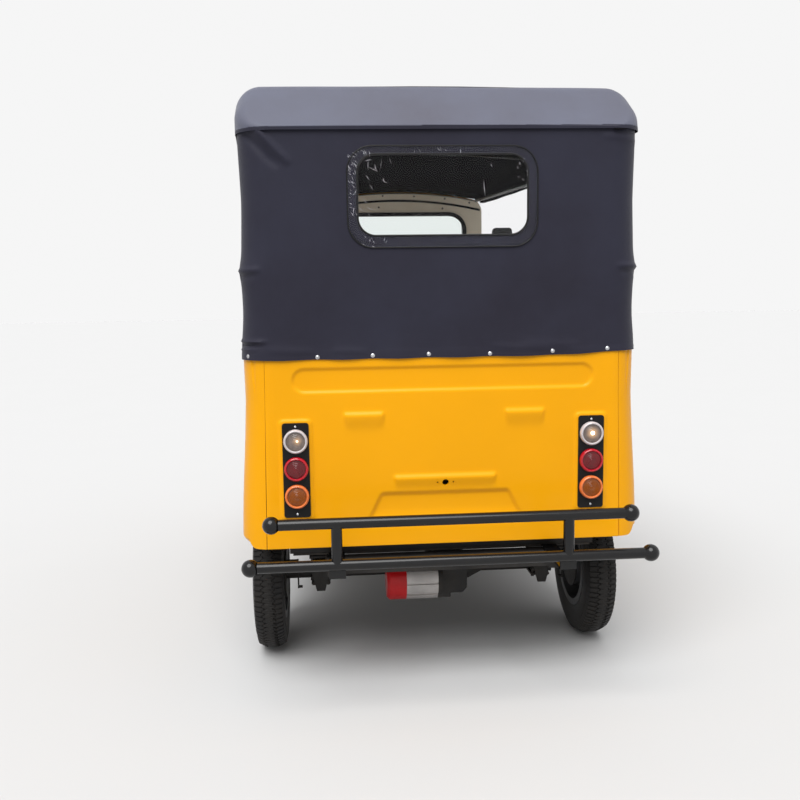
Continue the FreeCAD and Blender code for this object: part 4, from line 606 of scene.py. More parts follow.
def plain_faces(piece, reach):
    """Joins the faces of the flat walls ahead of a place, so that each wall is one face."""
    choose(piece)
    bpy.ops.object.mode_set(mode="EDIT")
    bpy.ops.mesh.select_all(action="DESELECT")
    bpy.ops.object.mode_set(mode="OBJECT")
    for face in piece.data.polygons:
        face.select = all(piece.data.vertices[index].co.y > reach for index in face.vertices)
    bpy.ops.object.mode_set(mode="EDIT")
    bpy.ops.mesh.dissolve_limited(angle_limit=math.radians(0.05))
    bpy.ops.object.mode_set(mode="OBJECT")


def cut(piece, point, normal):
    """Puts a line of points through the mesh along a plane."""
    choose(piece)
    bpy.ops.object.mode_set(mode="EDIT")
    bpy.ops.mesh.select_all(action="SELECT")
    bpy.ops.mesh.bisect(plane_co=point, plane_no=normal)
    bpy.ops.object.mode_set(mode="OBJECT")


def join(pieces, name):
    bpy.ops.object.select_all(action="DESELECT")
    for piece in pieces:
        piece.select_set(True)
    bpy.context.view_layer.objects.active = pieces[0]
    bpy.ops.object.join()
    pieces[0].name = name
    pieces[0].data.name = name
    return pieces[0]


def spun(name, profile, centre, axis, steps=48):
    """Shape turned from (radius, reach) points; reach runs along the axis from the centre."""
    axis = Vector(axis).normalized()
    side = axis.orthogonal().normalized()
    centre = Vector(centre)
    points = [centre + side * radius + axis * reach for radius, reach in profile]
    piece = mesh_piece(name, points, [(index, index + 1) for index in range(len(points) - 1)])
    choose(piece)
    bpy.ops.object.mode_set(mode="EDIT")
    bpy.ops.mesh.select_all(action="SELECT")
    bpy.ops.mesh.spin(steps=steps, angle=FULL_TURN, center=centre, axis=axis)
    bpy.ops.object.mode_set(mode="OBJECT")
    merge_outwards(piece, 0.02 * MM)
    return piece


def tube(name, points, radius, closed=False):
    """Round cord or tube through points."""
    curve = bpy.data.curves.new(name, "CURVE")
    curve.dimensions = "3D"
    curve.bevel_depth = radius
    curve.bevel_resolution = 4
    curve.use_fill_caps = not closed
    spline = curve.splines.new("POLY")
    spline.points.add(len(points) - 1)
    for target, point in zip(spline.points, points):
        target.co = (*point, 1.0)
    spline.use_cyclic_u = closed
    piece = bpy.data.objects.new(name, curve)
    bpy.context.scene.collection.objects.link(piece)
    choose(piece)
    bpy.ops.object.convert(target="MESH")
    piece = bpy.context.object
    merge_outwards(piece)
    return piece


def copies(name, template, places):
    """One piece made of the template's mesh, repeated at each matrix; the template is removed."""
    whole = bmesh.new()
    for place in places:
        part = bmesh.new()
        part.from_mesh(template.data)
        part.transform(place)
        scratch = bpy.data.meshes.new("copy")
        part.to_mesh(scratch)
        part.free()
        whole.from_mesh(scratch)
        bpy.data.meshes.remove(scratch)
    mesh = bpy.data.meshes.new(name)
    whole.to_mesh(mesh)
    whole.free()
    piece = bpy.data.objects.new(name, mesh)
    bpy.context.scene.collection.objects.link(piece)
    bpy.data.objects.remove(template)
    return piece


def facing(place, normal, up=(0, 0, 1)):
    """Matrix that puts a template's Z axis along a normal at a place."""
    ahead = Vector(normal).normalized()
    side = Vector(up).cross(ahead).normalized()
    over = ahead.cross(side)
    turn = Matrix((side, over, ahead)).transposed().to_4x4()
    return Matrix.Translation(place) @ turn


def round_rectangle(half_width, low, high, corner, steps=12):
    """Points (x, z) round a rectangle with arcs for corners."""
    points = []
    corners = ((half_width - corner, low + corner, -90), (half_width - corner, high - corner, 0),
               (-half_width + corner, high - corner, 90), (-half_width + corner, low + corner, 180))
    for x, z, start in corners:
        for index in range(steps + 1):
            angle = math.radians(start + 90 * index / steps)
            points.append((x + corner * math.cos(angle), z + corner * math.sin(angle)))
    return points


def evenly(points, pitch):
    """Places spaced by a pitch along a closed outline, with the way it runs there."""
    loop = [Vector(point) for point in points] + [Vector(points[0])]
    total = sum((after - before).length for before, after in zip(loop, loop[1:]))
    step = total / round(total / pitch)
    found = []
    target = 0.0
    walked = 0.0
    for before, after in zip(loop, loop[1:]):
        run = (after - before).length
        while run > 0 and target < walked + run - 1e-9:
            found.append((before.lerp(after, (target - walked) / run), (after - before).normalized()))
            target += step
        walked += run
    return found


def sheet_grid(name, columns, rows, place):
    """Grid primitive laid out by place(u, v), with u and v from 0 to 1; its map is in metres."""
    bpy.ops.object.select_all(action="DESELECT")
    bpy.ops.mesh.primitive_grid_add(x_subdivisions=columns, y_subdivisions=rows, size=1.0)
    piece = bpy.context.object
    piece.name = name
    piece.data.name = name
    mesh = piece.data
    shares = [(round(vertex.co.x + 0.5, 6), round(vertex.co.y + 0.5, 6)) for vertex in mesh.vertices]
    spots = {share: place(*share) for share in shares}
    for vertex, share in zip(mesh.vertices, shares):
        vertex.co = spots[share]
    across = sorted({share[0] for share in shares})
    along = sorted({share[1] for share in shares})
    runs = {}
    for v in along:
        walked = 0.0
        for before, after in zip([None] + across, across):
            if before is not None:
                walked += (Vector(spots[(after, v)]) - Vector(spots[(before, v)])).length
            runs[(after, v)] = walked
    rises = {}
    middle = across[len(across) // 2]
    walked = 0.0
    for before, after in zip([None] + along, along):
        if before is not None:
            walked += (Vector(spots[(middle, after)]) - Vector(spots[(middle, before)])).length
        rises[after] = walked
    layer = mesh.uv_layers.active.data
    for loop in mesh.loops:
        share = shares[loop.vertex_index]
        layer[loop.index].uv = (runs[share], rises[share[1]])
    mesh.update()
    return piece


def thicken(piece, wall, materials):
    """Gives a sheet its wall, inwards from its outer face; each inner face takes the next material."""
    for name in materials:
        piece.data.materials.append(finish_named(name))
    apply_modifier(piece, "SOLIDIFY", thickness=wall, offset=-1.0, use_even_offset=False, material_offset=1)


# Rear panel


plate_low, plate_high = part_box("tail_lamp_plates")
plate_half = 41 * MM
plate_middle = plate_high.x - plate_half

# Corner radius of the outline in plan, and the tighter one of the frame's sides
plan_corner = 95 * MM
built_corner = 28 * MM

# Pressed ledges, columns: middle, half width, top, foot, how far it stands out
ledges = ((-0.253, 0.067, 0.919, 0.838, 7 * MM), (0.253, 0.067, 0.919, 0.838, 7 * MM),
          (0.0, 0.166, 0.717, 0.655, 7 * MM))
plate_lamp_height = 0.685
# Holes for the plate lamp and its screws, columns: place across, radius
plate_lamp_holes = ((0.0, 10 * MM), (-25 * MM, 2.6 * MM), (25 * MM, 2.6 * MM))

# Half width of the shape in plan, as the photograph's outline has it, columns: height, half width
body_halves = ((0.40, 0.6450), (0.55, 0.6440), (0.64, 0.6400), (0.72, 0.6350), (0.82, 0.6280), (0.95, 0.6215),
               (1.10, 0.6235))
curtain_halves = ((1.07, 0.6270), (1.25, 0.6240), (1.56, 0.6180), (1.77, 0.6205))


def read_off(rows, height):
    """Value between the two rows round a height."""
    for before, after in zip(rows, rows[1:]):
        if height <= after[0]:
            share = max((height - before[0]) / (after[0] - before[0]), 0.0)
            return lerp(before[1], after[1], share)
    return rows[-1][1]


def corner_depth(x, half):
    """How far the rounded corner has turned forward at a place across the rear."""
    past = abs(x) - (half - plan_corner)
    if past <= 0:
        return 0.0
    return plan_corner - math.sqrt(max(plan_corner ** 2 - past ** 2, 0.0))


def pad(x, z, middle, half, low, high, corner, edge):
    """1 on a pressed pad with round corners, falling to 0 over its edge."""
    across = max(abs(x - middle) - half + corner, 0.0)
    up = max(abs(z - (low + high) / 2) - (high - low) / 2 + corner, 0.0)
    return smooth_step(0, edge, corner - math.hypot(across, up))


def panel_relief(x, z):
    """How far the rear panel stands out at a point, from its pressed forms."""
    frame_edge = 13 * MM
    out = 4.8 * MM * pad(abs(x), z, plate_middle, plate_half + frame_edge, plate_low.z - frame_edge,
                         plate_high.z + frame_edge, 18 * MM, 8 * MM)
    for middle, half, top, foot, proud in ledges:
        across = smooth_step(0, lerp(24 * MM, 10 * MM, smooth_step(foot, top, z)), half - abs(x - middle))
        rise = smooth_step(0, 17 * MM, top - z)
        fade = smooth_step(foot, top - 14 * MM, z) ** 1.5
        out = max(out, proud * across * rise * fade)
    # The long form under the hem
    low, high, form_half = 0.974, 1.0555, 0.475
    out -= 5.5 * MM * pad(x, z, 0.0, form_half, low, high, (high - low) / 2, 11 * MM)
    # The trapezoid that sinks in behind the bumper
    half_low, half_top, recess_low, recess_top, recess_depth = 0.262, 0.205, 0.545, 0.662, 8.5 * MM
    edge_half = lerp(half_low, half_top, (z - recess_low) / (recess_top - recess_low))
    inside = smooth_step(0, 16 * MM, edge_half - abs(x)) * smooth_step(0, 19 * MM, recess_top - z)
    return out - recess_depth * inside * smooth_step(recess_low - 10 * MM, recess_low + 60 * MM, z)


class RICKSHAW_OT_rear_panel(bpy.types.Operator):
    """Pressed tin panel with soft ledges, lamp pads and the hole for the plate lamp"""

    bl_idname = "rickshaw.rear_panel"
    bl_label = "Rear panel"

    def execute(self, context):
        low_half = panel_edge_half - 1.3 * MM
        high_half = low_half - 10 * MM
        low = panel_low.z

        def place(u, v):
            z = lerp(low, body_top, v)
            x = lerp(-1, 1, u) * lerp(low_half, high_half, v)
            depth = corner_depth(x, read_off(body_halves, z))
            return x, panel_plane + depth - panel_relief(x, z), z

        panel = sheet_grid("rear_panel_pressing", 250, 145, place)
        if panel.data.polygons[0].normal.y > 0:
            panel.data.flip_normals()
        apply_modifier(panel, "SOLIDIFY", thickness=11.5 * MM, offset=-1.0)
        for x, radius in plate_lamp_holes:
            apply_boolean(panel, drilled(x, radius, plate_lamp_height))
        merge_outwards(panel)
        apply_modifier(panel, "BEVEL", width=1.6 * MM, segments=2, limit_method="ANGLE",
                       angle_limit=math.radians(60))
        smooth(panel, 35)
        dress(panel, "body", ["yellow_paint"], ["rear_panel"])
        return {"FINISHED"}


class RICKSHAW_OT_body_sides(bpy.types.Operator):
    """Rear quarters drawn out to the wide round corners of the photograph's outline"""

    bl_idname = "rickshaw.body_sides"
    bl_label = "Body sides"

    # The rear corner's lower edge is rounded this far ahead of the panel, and this high
    rounded_to = 0.109
    rounded_height = 40 * MM
    arch_starts = 0.3
    # Between these places across the rear the side's wall starts to move out
    strip_start, strip_end = 0.566, 0.604

    def execute(self, context):
        for side, node in ((1, "body_side_right"), (-1, "body_side_left")):
            piece = node_copy(node, node + "_skin")
            for step in range(1, 13):
                cut(piece, (0, panel_plane + plan_corner * (1 - math.cos(math.pi / 24 * step)), 0), (0, 1, 0))
            plain_faces(piece, panel_plane + plan_corner - 1 * MM)
            for step in range(2, 21):
                cut(piece, (0, panel_plane + 55 * MM * step, 0), (0, 1, 0))
            for step in range(8):
                cut(piece, (side * (0.567 + 6 * MM * step), 0, 0), (1, 0, 0))
            for step in range(14):
                cut(piece, (0, 0, 0.44 + 50 * MM * step), (0, 0, 1))
            for vertex in piece.data.vertices:
                vertex.co = self.drawn_out(side, vertex.co)
            smooth(piece, 35)
            apply_modifier(piece, "WEIGHTED_NORMAL", keep_sharp=True)
            dress(piece, "body", ["yellow_paint"], [node])
        return {"FINISHED"}

    def drawn_out(self, side, point):
        """Place of a point of the built side once its corner is rounded and its wall moved out."""
        distance = point.y - panel_plane
        lip = panel_low.z + self.rounded_height * smooth_step(0.585, 0.625, abs(point.x))
        if self.rounded_to < distance < self.arch_starts and point.z < lip:
            point = Vector((point.x, point.y, lip))
        half = read_off(body_halves, point.z)
        built_half = lerp(0.627, 0.6035, (point.z - panel_low.z) / (body_top - panel_low.z))
        wider = (half - built_half) * smooth_step(1.0, 0.45, distance)
        x = abs(point.x) + wider * smooth_step(self.strip_start, self.strip_end, abs(point.x))
        across = plan_corner - (half - x)
        back = plan_corner - distance
        if across <= 0 or back <= 0:
            return Vector((side * x, point.y, point.z))
        reach = math.hypot(across, back)
        way = Vector((across, back)) / reach
        depth = self.old_reach(way) - reach
        moved = way * (plan_corner - (depth if depth > 1.5 * MM else 0.0))
        return Vector((side * (half - plan_corner + moved.x), panel_plane + plan_corner - moved.y, point.z))

    def old_reach(self, way):
        """Distance from the wide corner's middle to the built, tighter corner, along a direction."""
        inner = plan_corner - built_corner
        if way.x * plan_corner <= inner * way.y:
            return plan_corner / way.y
        if way.y * plan_corner <= inner * way.x:
            return plan_corner / way.x
        middle = Vector((inner, inner))
        along = way.dot(middle)
        return along + math.sqrt(along ** 2 - middle.length_squared + built_corner ** 2)


def drilled(x, radius, z):
    bpy.ops.object.select_all(action="DESELECT")
    bpy.ops.mesh.primitive_cylinder_add(vertices=32, radius=radius, depth=60 * MM,
                                        location=(x, panel_plane, z),
                                        rotation=(math.pi / 2, 0, 0))
    drill = bpy.context.object
    settle(drill)
    return drill


def apply_boolean(piece, cutter):
    apply_modifier(piece, "BOOLEAN", operation="DIFFERENCE", object=cutter, solver="EXACT")
    bpy.data.objects.remove(cutter)


# Canopy


def roof_rows():
    """Sections of the roof, columns: place ahead of the panel plane, half width, top, corner, crown."""
    return [
        (-0.012, 0.6220, 1.776, 0.012, 40.0),
        (0.150, 0.626, 1.926, 0.080, 45.0),
        (0.610, 0.606, 1.929, 0.080, 8.0),
        (1.075, 0.556, 1.886, 0.066, 5.0),
        (1.822, 0.462, 1.800, 0.040, 3.4),
    ]


def roof_row(distance):
    """Section at a place, on the straight line between the two nearest rows."""
    rows = roof_rows()
    for before, after in zip(rows, rows[1:]):
        if distance <= after[0]:
            share = (distance - before[0]) / (after[0] - before[0])
            return [lerp(a, b, share) for a, b in zip(before[1:], after[1:])]
    return list(rows[-1][1:])


def eased_row(distance):
    """Roof section with the bends over the bows eased, as cloth takes them."""
    reach = 18 * MM
    first, last = roof_rows()[0][0], roof_rows()[-1][0]
    samples = [roof_row(min(max(distance + reach * step / 2, first), last)) for step in (-2, -1, 0, 1, 2)]
    middle = roof_row(distance)
    top = sum(sample[1] for sample in samples) / len(samples)
    return [middle[0], min(top, middle[1]), middle[2], middle[3]]


def arch_point(side, half, low, top, corner, crown):
    """Point of an arch for side from -1 to 1: legs, corner arcs and a shallow crown arc."""
    sign = 1 if side >= 0 else -1
    share = abs(side)
    run = math.sqrt((crown - corner) ** 2 - (half - corner) ** 2)
    knee = top - crown + run
    lean = math.asin((half - corner) / (crown - corner))
    if share < 0.62:
        angle = lean * share / 0.62
        return sign * crown * math.sin(angle), top - crown + crown * math.cos(angle)
    if share < 0.86:
        angle = lerp(lean, math.pi / 2, (share - 0.62) / 0.24)
        return sign * (half - corner + corner * math.sin(angle)), knee + corner * math.cos(angle)
    return sign * half, lerp(knee, low, (share - 0.86) / 0.14)


def roof_relief(x, distance, height):
    """Slack of the roof cloth between its bows, with light pulls towards the bows' corners."""
    canvas = bpy.context.scene.rickshaw_canvas
    bows = (0.158, 0.610, 1.075, 1.80)
    sink = 0.0
    for before, after in zip(bows, bows[1:]):
        if before < distance < after:
            share = (distance - before) / (after - before)
            sink = canvas.sag * math.sin(math.pi * share)
    ripple = noise.noise(Vector((x * 4, distance * 3, 0.7))) * 1.6 * MM
    pulls = noise.noise(Vector((x * 14, distance * 2.2, 3.1))) * 1.1 * MM * smooth_step(0.1, 0.0,
                                                                                        abs(distance - 0.62))
    return -sink * smooth_step(1.70, 1.80, height) + ripple + pulls


class RICKSHAW_OT_roof(bpy.types.Operator):
    """Canvas roof over the bows, with its valance and the rear edge turned down over the curtain"""

    bl_idname = "rickshaw.roof"
    bl_label = "Canvas roof"

    def execute(self, context):
        canvas = context.scene.rickshaw_canvas
        first = roof_rows()[0][0]
        flap_rows = 0.03

        def place(u, v):
            side = u * 2 - 1
            turn_down = canvas.front_flap * max(v - 1 + flap_rows, 0.0) / flap_rows
            share = min(max((v - flap_rows) / (1 - 2 * flap_rows), 0.0), 1.0)
            distance = roof_distance(share)
            half, top, corner, crown = eased_row(distance)
            half -= plan_corner - math.sqrt(plan_corner ** 2 - max(plan_corner - distance + first, 0.0) ** 2)
            inset = canvas.inside + turn_down
            low = roof_hem(side * half, distance)
            x, z = arch_point(side, half - inset, low, top - inset, corner - inset, crown - inset)
            if v < flap_rows:
                return x, panel_plane + first, lerp(low, z, v / flap_rows)
            out = roof_relief(x, distance, z) * smooth_step(first, 0.02, distance) if not turn_down else 0.0
            normal = Vector((x / half * 0.6, 0, 1.0 if z > top - corner else 0.2)).normalized()
            wing = 3 * MM * bump(distance - 0.05, 0.04) * bump(z - low, 0.02) if x > 0.4 else 0.0
            height = z + normal.z * out + hem_wave(distance, side)
            return x + normal.x * out + wing, panel_plane + distance, height

        roof = sheet_grid("roof_canvas", 130, 170, place)
        if roof_faces_inwards(roof):
            roof.data.flip_normals()
        # The lowest strip round the rear keeps the curtain's darker cloth; the rest of the roof has the
        # painted paler colour.
        for face in roof.data.polygons:
            distance = face.center.y - panel_plane
            if distance < 0.12 and face.center.z < roof_hem(face.center.x, distance) + 11 * MM:
                face.material_index = 2
        materials = ["roof_canvas", "lining", "canvas", "lining"]
        thicken(roof, canvas.wall, materials)
        smooth(roof, 60)
        dress(roof, "body", materials, ["canopy_roof"])
        return {"FINISHED"}


def roof_distance(share):
    """Place of a row of the roof; the rows lie close together round the rear corners."""
    first, last = roof_rows()[0][0], roof_rows()[-1][0]
    corner_share = 0.12
    if share < corner_share:
        return first + plan_corner * (1 - math.cos(math.pi / 2 * share / corner_share))
    share = (share - corner_share) / (1 - corner_share)
    return lerp(first + plan_corner, last, 0.45 * share + 0.55 * share * share)


def roof_hem(x, distance):
    """Lower edge of the roof cloth: level with the seam round the rear, then down to the side's valance."""
    seam = 1.7625 + 8 * MM * x
    return lerp(seam, roof_low.z, smooth_step(0.10, 0.20, distance))


def hem_wave(distance, side):
    """Small rise and fall of the valance's lower edge."""
    edge = smooth_step(0.9, 1.0, abs(side))
    return edge * noise.noise(Vector((distance * 7, side, 1.3))) * 2.5 * MM


def roof_faces_inwards(piece):
    """True if the face nearest the roof's crown looks down."""
    top = max(piece.data.polygons, key=lambda face: face.center.z)
    return top.normal.z < 0


def curtain_shape(height):
    """Half widths of the curtain at its rear and front, at a height."""
    share = (height - hem_line) / (curtain_high.z - hem_line)
    return read_off(curtain_halves, height), lerp(0.622, 0.5975, share)


# Snaps along the rear hem, columns: x, height, as the hem's slack leaves them
rear_snaps = [(-0.603, 1.092), (-0.391, 1.087), (-0.222, 1.089), (-0.049, 1.090), (0.142, 1.088),
              (0.340, 1.092), (0.515, 1.097)]
side_snaps = (0.10, 0.28, 0.46)


def curtain_lengths():
    """Runs along the curtain's path at its hem: one side, one corner, the rear."""
    rear, _ = curtain_shape(hem_line)
    side = curtain_high.y - (curtain_low.y + plan_corner)
    return side, plan_corner * math.pi / 2, 2 * (rear - plan_corner)


def curtain_path(run, height):
    """Place and outward direction of the curtain's outer face, a run round it from its front left edge."""
    side, arc, back = curtain_lengths()
    rear, front = curtain_shape(height)
    total = 2 * side + 2 * arc + back
    sign = -1 if run < total / 2 else 1
    from_front = run if sign < 0 else total - run
    rear_y = curtain_low.y
    if from_front < side:
        share = from_front / side
        y = lerp(curtain_high.y, rear_y + plan_corner, share)
        return Vector((sign * lerp(front, rear, smooth_step(0, 1, share)), y, height)), Vector((sign, 0, 0))
    if from_front < side + arc:
        angle = (from_front - side) / plan_corner
        centre = Vector((sign * (rear - plan_corner), rear_y + plan_corner, height))
        normal = Vector((sign * math.cos(angle), -math.sin(angle), 0))
        return centre + normal * plan_corner, normal
    along = (from_front - side - arc) / (back / 2)
    return Vector((sign * (rear - plan_corner) * (1 - along), rear_y, height)), Vector((0, -1, 0))


def ridge(x, z, start, end, width, height):
    """Height of a soft straight fold between two points of the rear face."""
    line = Vector(end) - Vector(start)
    here = Vector((x, z)) - Vector(start)
    along = here.dot(line) / line.length_squared
    off = (here - line * min(max(along, 0.0), 1.0)).length
    fade = smooth_step(-0.25, 0.15, along) * smooth_step(1.25, 0.75, along)
    return height * bump(off, width) * fade


# Folds of the rear face that the sides pull in, columns: start, end, width, height
rear_folds = [
    ((-0.560, 1.768), (-0.466, 1.668), 0.009, 0.0095),
    ((-0.590, 1.752), (-0.500, 1.660), 0.011, -0.0070),
    ((-0.640, 1.139), (-0.545, 1.137), 0.005, 0.0060),
    ((-0.640, 1.124), (-0.556, 1.124), 0.006, -0.0045),
    ((-0.640, 1.112), (-0.580, 1.112), 0.005, 0.0040),
    ((-0.640, 1.351), (-0.560, 1.353), 0.008, 0.0055),
    ((-0.640, 1.334), (-0.575, 1.336), 0.008, -0.0040),
    ((0.550, 1.354), (0.640, 1.350), 0.008, 0.0055),
    ((0.560, 1.335), (0.640, 1.333), 0.009, -0.0040),
    ((-0.545, 1.112), (-0.400, 1.104), 0.010, 0.0020),
    ((0.250, 1.118), (0.420, 1.108), 0.014, 0.0024),
    ((0.500, 1.745), (0.610, 1.735), 0.010, 0.0025),
    ((0.150, 1.112), (0.330, 1.102), 0.009, 0.0018),
    ((-0.340, 1.108), (-0.240, 1.102), 0.009, 0.0018),
]


def curtain_relief(run, x, z, normal):
    """How far the curtain's cloth stands out of its plain outline."""
    canvas = bpy.context.scene.rickshaw_canvas
    sideways = abs(normal.x)
    out = canvas.rail_bulge * bump(z - canvas.rail_height, 0.035) * sideways
    lower_hollow, upper_hollow = 1.22, 1.55
    out -= 4 * MM * bump(z - lower_hollow, 0.07) * sideways
    out -= 3 * MM * bump(z - upper_hollow, 0.12) * sideways
    out += 2.2 * MM * smooth_step(0.12, 0.0, z - hem_line) * sideways
    if normal.y < -0.2:
        for fold in rear_folds:
            out += ridge(x, z, *fold)
        out += 2.6 * MM * hem_slack(x) * smooth_step(0.075, 0.0, z - hem_line)
    out += noise.noise(Vector((run * 3.2, z * 4.5, 0.4))) * 1.5 * MM
    out += noise.noise(Vector((run * 9, z * 7, 5.2))) * 0.5 * MM
    if z < hem_line + canvas.hem:
        out += 0.7 * MM
    out -= 0.8 * MM * bump(z - hem_line - canvas.hem, 1.6 * MM)
    return out


def hem_slack(x):
    """0 at a snap of the rear hem and 1 midway between two."""
    for (before, _), (after, _) in zip(rear_snaps, rear_snaps[1:]):
        if before < x < after:
            return math.sin(math.pi * (x - before) / (after - before)) ** 2
    return 0.0


def hem_height_at(x, normal):
    """Lower edge of the curtain, which rises a little to the right and dips between the snaps."""
    rise = 9 * MM * smooth_step(0.30, 0.60, x)
    slack = hem_slack(x) if normal.y < -0.2 else 0.0
    return hem_line + rise - 2 * MM * slack


def curtain_point(run, height):
    """Place on the cloth's outer face and its outward direction."""
    canvas = bpy.context.scene.rickshaw_canvas
    place, normal = curtain_path(run, height)
    out = curtain_relief(run, place.x, height, normal) - canvas.inside
    return place + normal * out, normal


class RICKSHAW_OT_curtain(bpy.types.Operator):
    """Curtain of coated cloth round the rear, with its hem, folds and window opening"""

    bl_idname = "rickshaw.curtain"
    bl_label = "Curtain"

    def execute(self, context):
        canvas = context.scene.rickshaw_canvas
        side, arc, back = curtain_lengths()
        total = 2 * side + 2 * arc + back
        top = curtain_high.z + 6 * MM

        def place(u, v):
            plain, normal = curtain_path(u * total, hem_line)
            low = hem_height_at(plain.x, normal)
            point, _ = curtain_point(u * total, lerp(low, top, v))
            return point

        curtain = sheet_grid("curtain_canvas", 300, 110, place)
        rear_middle = Vector((0, panel_plane, 1.3))
        centre = min(curtain.data.polygons, key=lambda face: (face.center - rear_middle).length)
        if centre.normal.y > 0:
            curtain.data.flip_normals()
        thicken(curtain, canvas.wall, ["canvas", "lining"])
        bpy.ops.object.select_all(action="DESELECT")
        outline = round_rectangle(*window_opening())
        cutter = prism_piece("opening", outline, panel_plane - 0.05, panel_plane + 0.05)
        apply_boolean(curtain, cutter)
        smooth(curtain, 60)
        dress(curtain, "body", ["canvas", "lining"], ["canopy_curtain"])
        return {"FINISHED"}


def window_opening():
    half = window_high.x
    return half, window_low.z, window_high.z, 52 * MM


def prism_piece(name, outline, rear, front):
    """Closed block from an outline of (x, z) points between two places along Y."""
    points = [(x, rear, z) for x, z in outline] + [(x, front, z) for x, z in outline]
    count = len(outline)
    faces = [tuple(range(count)), tuple(range(2 * count - 1, count - 1, -1))]
    for index in range(count):
        after = (index + 1) % count
        faces.append((index, index + count, after + count, after))
    piece = mesh_piece(name, points, faces=faces)
    merge_outwards(piece)
    return piece


class RICKSHAW_OT_rear_window(bpy.types.Operator):
    """Clear sheet over the opening, its sewn cord, bound edge, stitches and scuffs"""

    bl_idname = "rickshaw.rear_window"
    bl_label = "Rear window"

    def execute(self, context):
        sizes = context.scene.rickshaw_window
        half, low, high, corner = window_opening()
        border = sizes.border
        outline = round_rectangle(half + border, low - border - 5 * MM, high + border - 6 * MM,
                                  corner + 24 * MM)
        face = curtain_low.y + context.scene.rickshaw_canvas.inside - 1.6 * MM
        clear = prism_piece("window_sheet", outline, face - sizes.wall, face)
        dress(clear, "body", ["window_vinyl"], ["rear_window"])
        self.cords(sizes, outline, (half, low, high, corner), face)
        self.scuffs(face - sizes.wall)
        return {"FINISHED"}

    def cords(self, sizes, outline, opening, face):
        edge = [(x, face - sizes.wall * 0.5, z) for x, z in outline]
        welt = tube("window_welt", edge, sizes.welt, closed=True)
        smooth(welt, 60)
        dress(welt, "body", ["binding_tape"])
        half, low, high, corner = opening
        rim = round_rectangle(half + 2 * MM, low - 2 * MM, high + 2 * MM, corner + 2 * MM)
        bound = tube("window_binding", [(x, face + 1.0 * MM, z) for x, z in rim], sizes.binding, closed=True)
        smooth(bound, 60)
        dress(bound, "body", ["binding_tape"])
        rows = [round_rectangle(half + 10 * MM, low - 10 * MM, high + 10 * MM, corner + 10 * MM),
                round_rectangle(half + 25 * MM, low - 27 * MM, high + 19 * MM, corner + 18 * MM)]
        places = []
        for row in rows:
            for spot, way in evenly(row, sizes.stitch_pitch):
                place = Vector((spot.x, face - sizes.wall - 0.2 * MM, spot.y))
                places.append(facing(place, (0, -1, 0), up=(-way.y, 0, way.x)))
        bpy.ops.object.select_all(action="DESELECT")
        bpy.ops.mesh.primitive_uv_sphere_add(segments=6, ring_count=4, radius=1.0)
        stitch = bpy.context.object
        stitch.scale = (2.3 * MM, 0.7 * MM, 0.5 * MM)
        settle(stitch)
        stitches = copies("window_stitches", stitch, places)
        smooth(stitches, 80)
        dress(stitches, "body", ["binding_tape"])

    def scuffs(self, face):
        """Pale scratches and creases of the clear sheet, thickest at its left edge."""
        draw = random.Random(11)
        # columns: low x, high x, low z, high z, count, shortest, longest
        patches = [(-0.285, -0.262, 1.50, 1.69, 34, 0.005, 0.022),
                   (-0.262, -0.200, 1.475, 1.60, 9, 0.010, 0.030),
                   (-0.245, -0.150, 1.60, 1.680, 9, 0.012, 0.034),
                   (-0.10, 0.07, 1.695, 1.708, 6, 0.006, 0.016),
                   (-0.27, -0.20, 1.69, 1.706, 8, 0.006, 0.020), (0.225, 0.262, 1.60, 1.69, 8, 0.005, 0.012),
                   (-0.26, -0.17, 1.418, 1.45, 8, 0.005, 0.012), (-0.02, 0.20, 1.50, 1.66, 5, 0.012, 0.05)]
        points = []
        faces = []
        for low_x, high_x, low_z, high_z, count, shortest, longest in patches:
            for _ in range(count):
                x = draw.uniform(low_x, high_x)
                z = draw.uniform(low_z, high_z)
                angle = draw.gauss(2.1, 0.45)
                reach = draw.uniform(shortest, longest) / 2
                half = draw.uniform(0.25, 0.75) * MM
                way = Vector((math.cos(angle), math.sin(angle)))
                across = Vector((-way.y, way.x)) * half
                middle = Vector((x, z)) + across * draw.uniform(-3, 3)
                tips = [Vector((x, z)) - way * reach, middle - across, Vector((x, z)) + way * reach,
                        middle + across]
                first = len(points)
                points += [(tip.x, face - 0.05 * MM, tip.y) for tip in tips]
                points += [(tip.x, face - 0.25 * MM, tip.y) for tip in tips]
                faces += [tuple(first + index for index in (0, 1, 2, 3)),
                          tuple(first + index for index in (7, 6, 5, 4))]
                for index in range(4):
                    after = (index + 1) % 4
                    faces.append((first + index, first + index + 4, first + after + 4, first + after))
        scuffs = mesh_piece("window_scuffs", points, faces=faces)
        merge_outwards(scuffs)
        dress(scuffs, "body", ["scuff_white"])


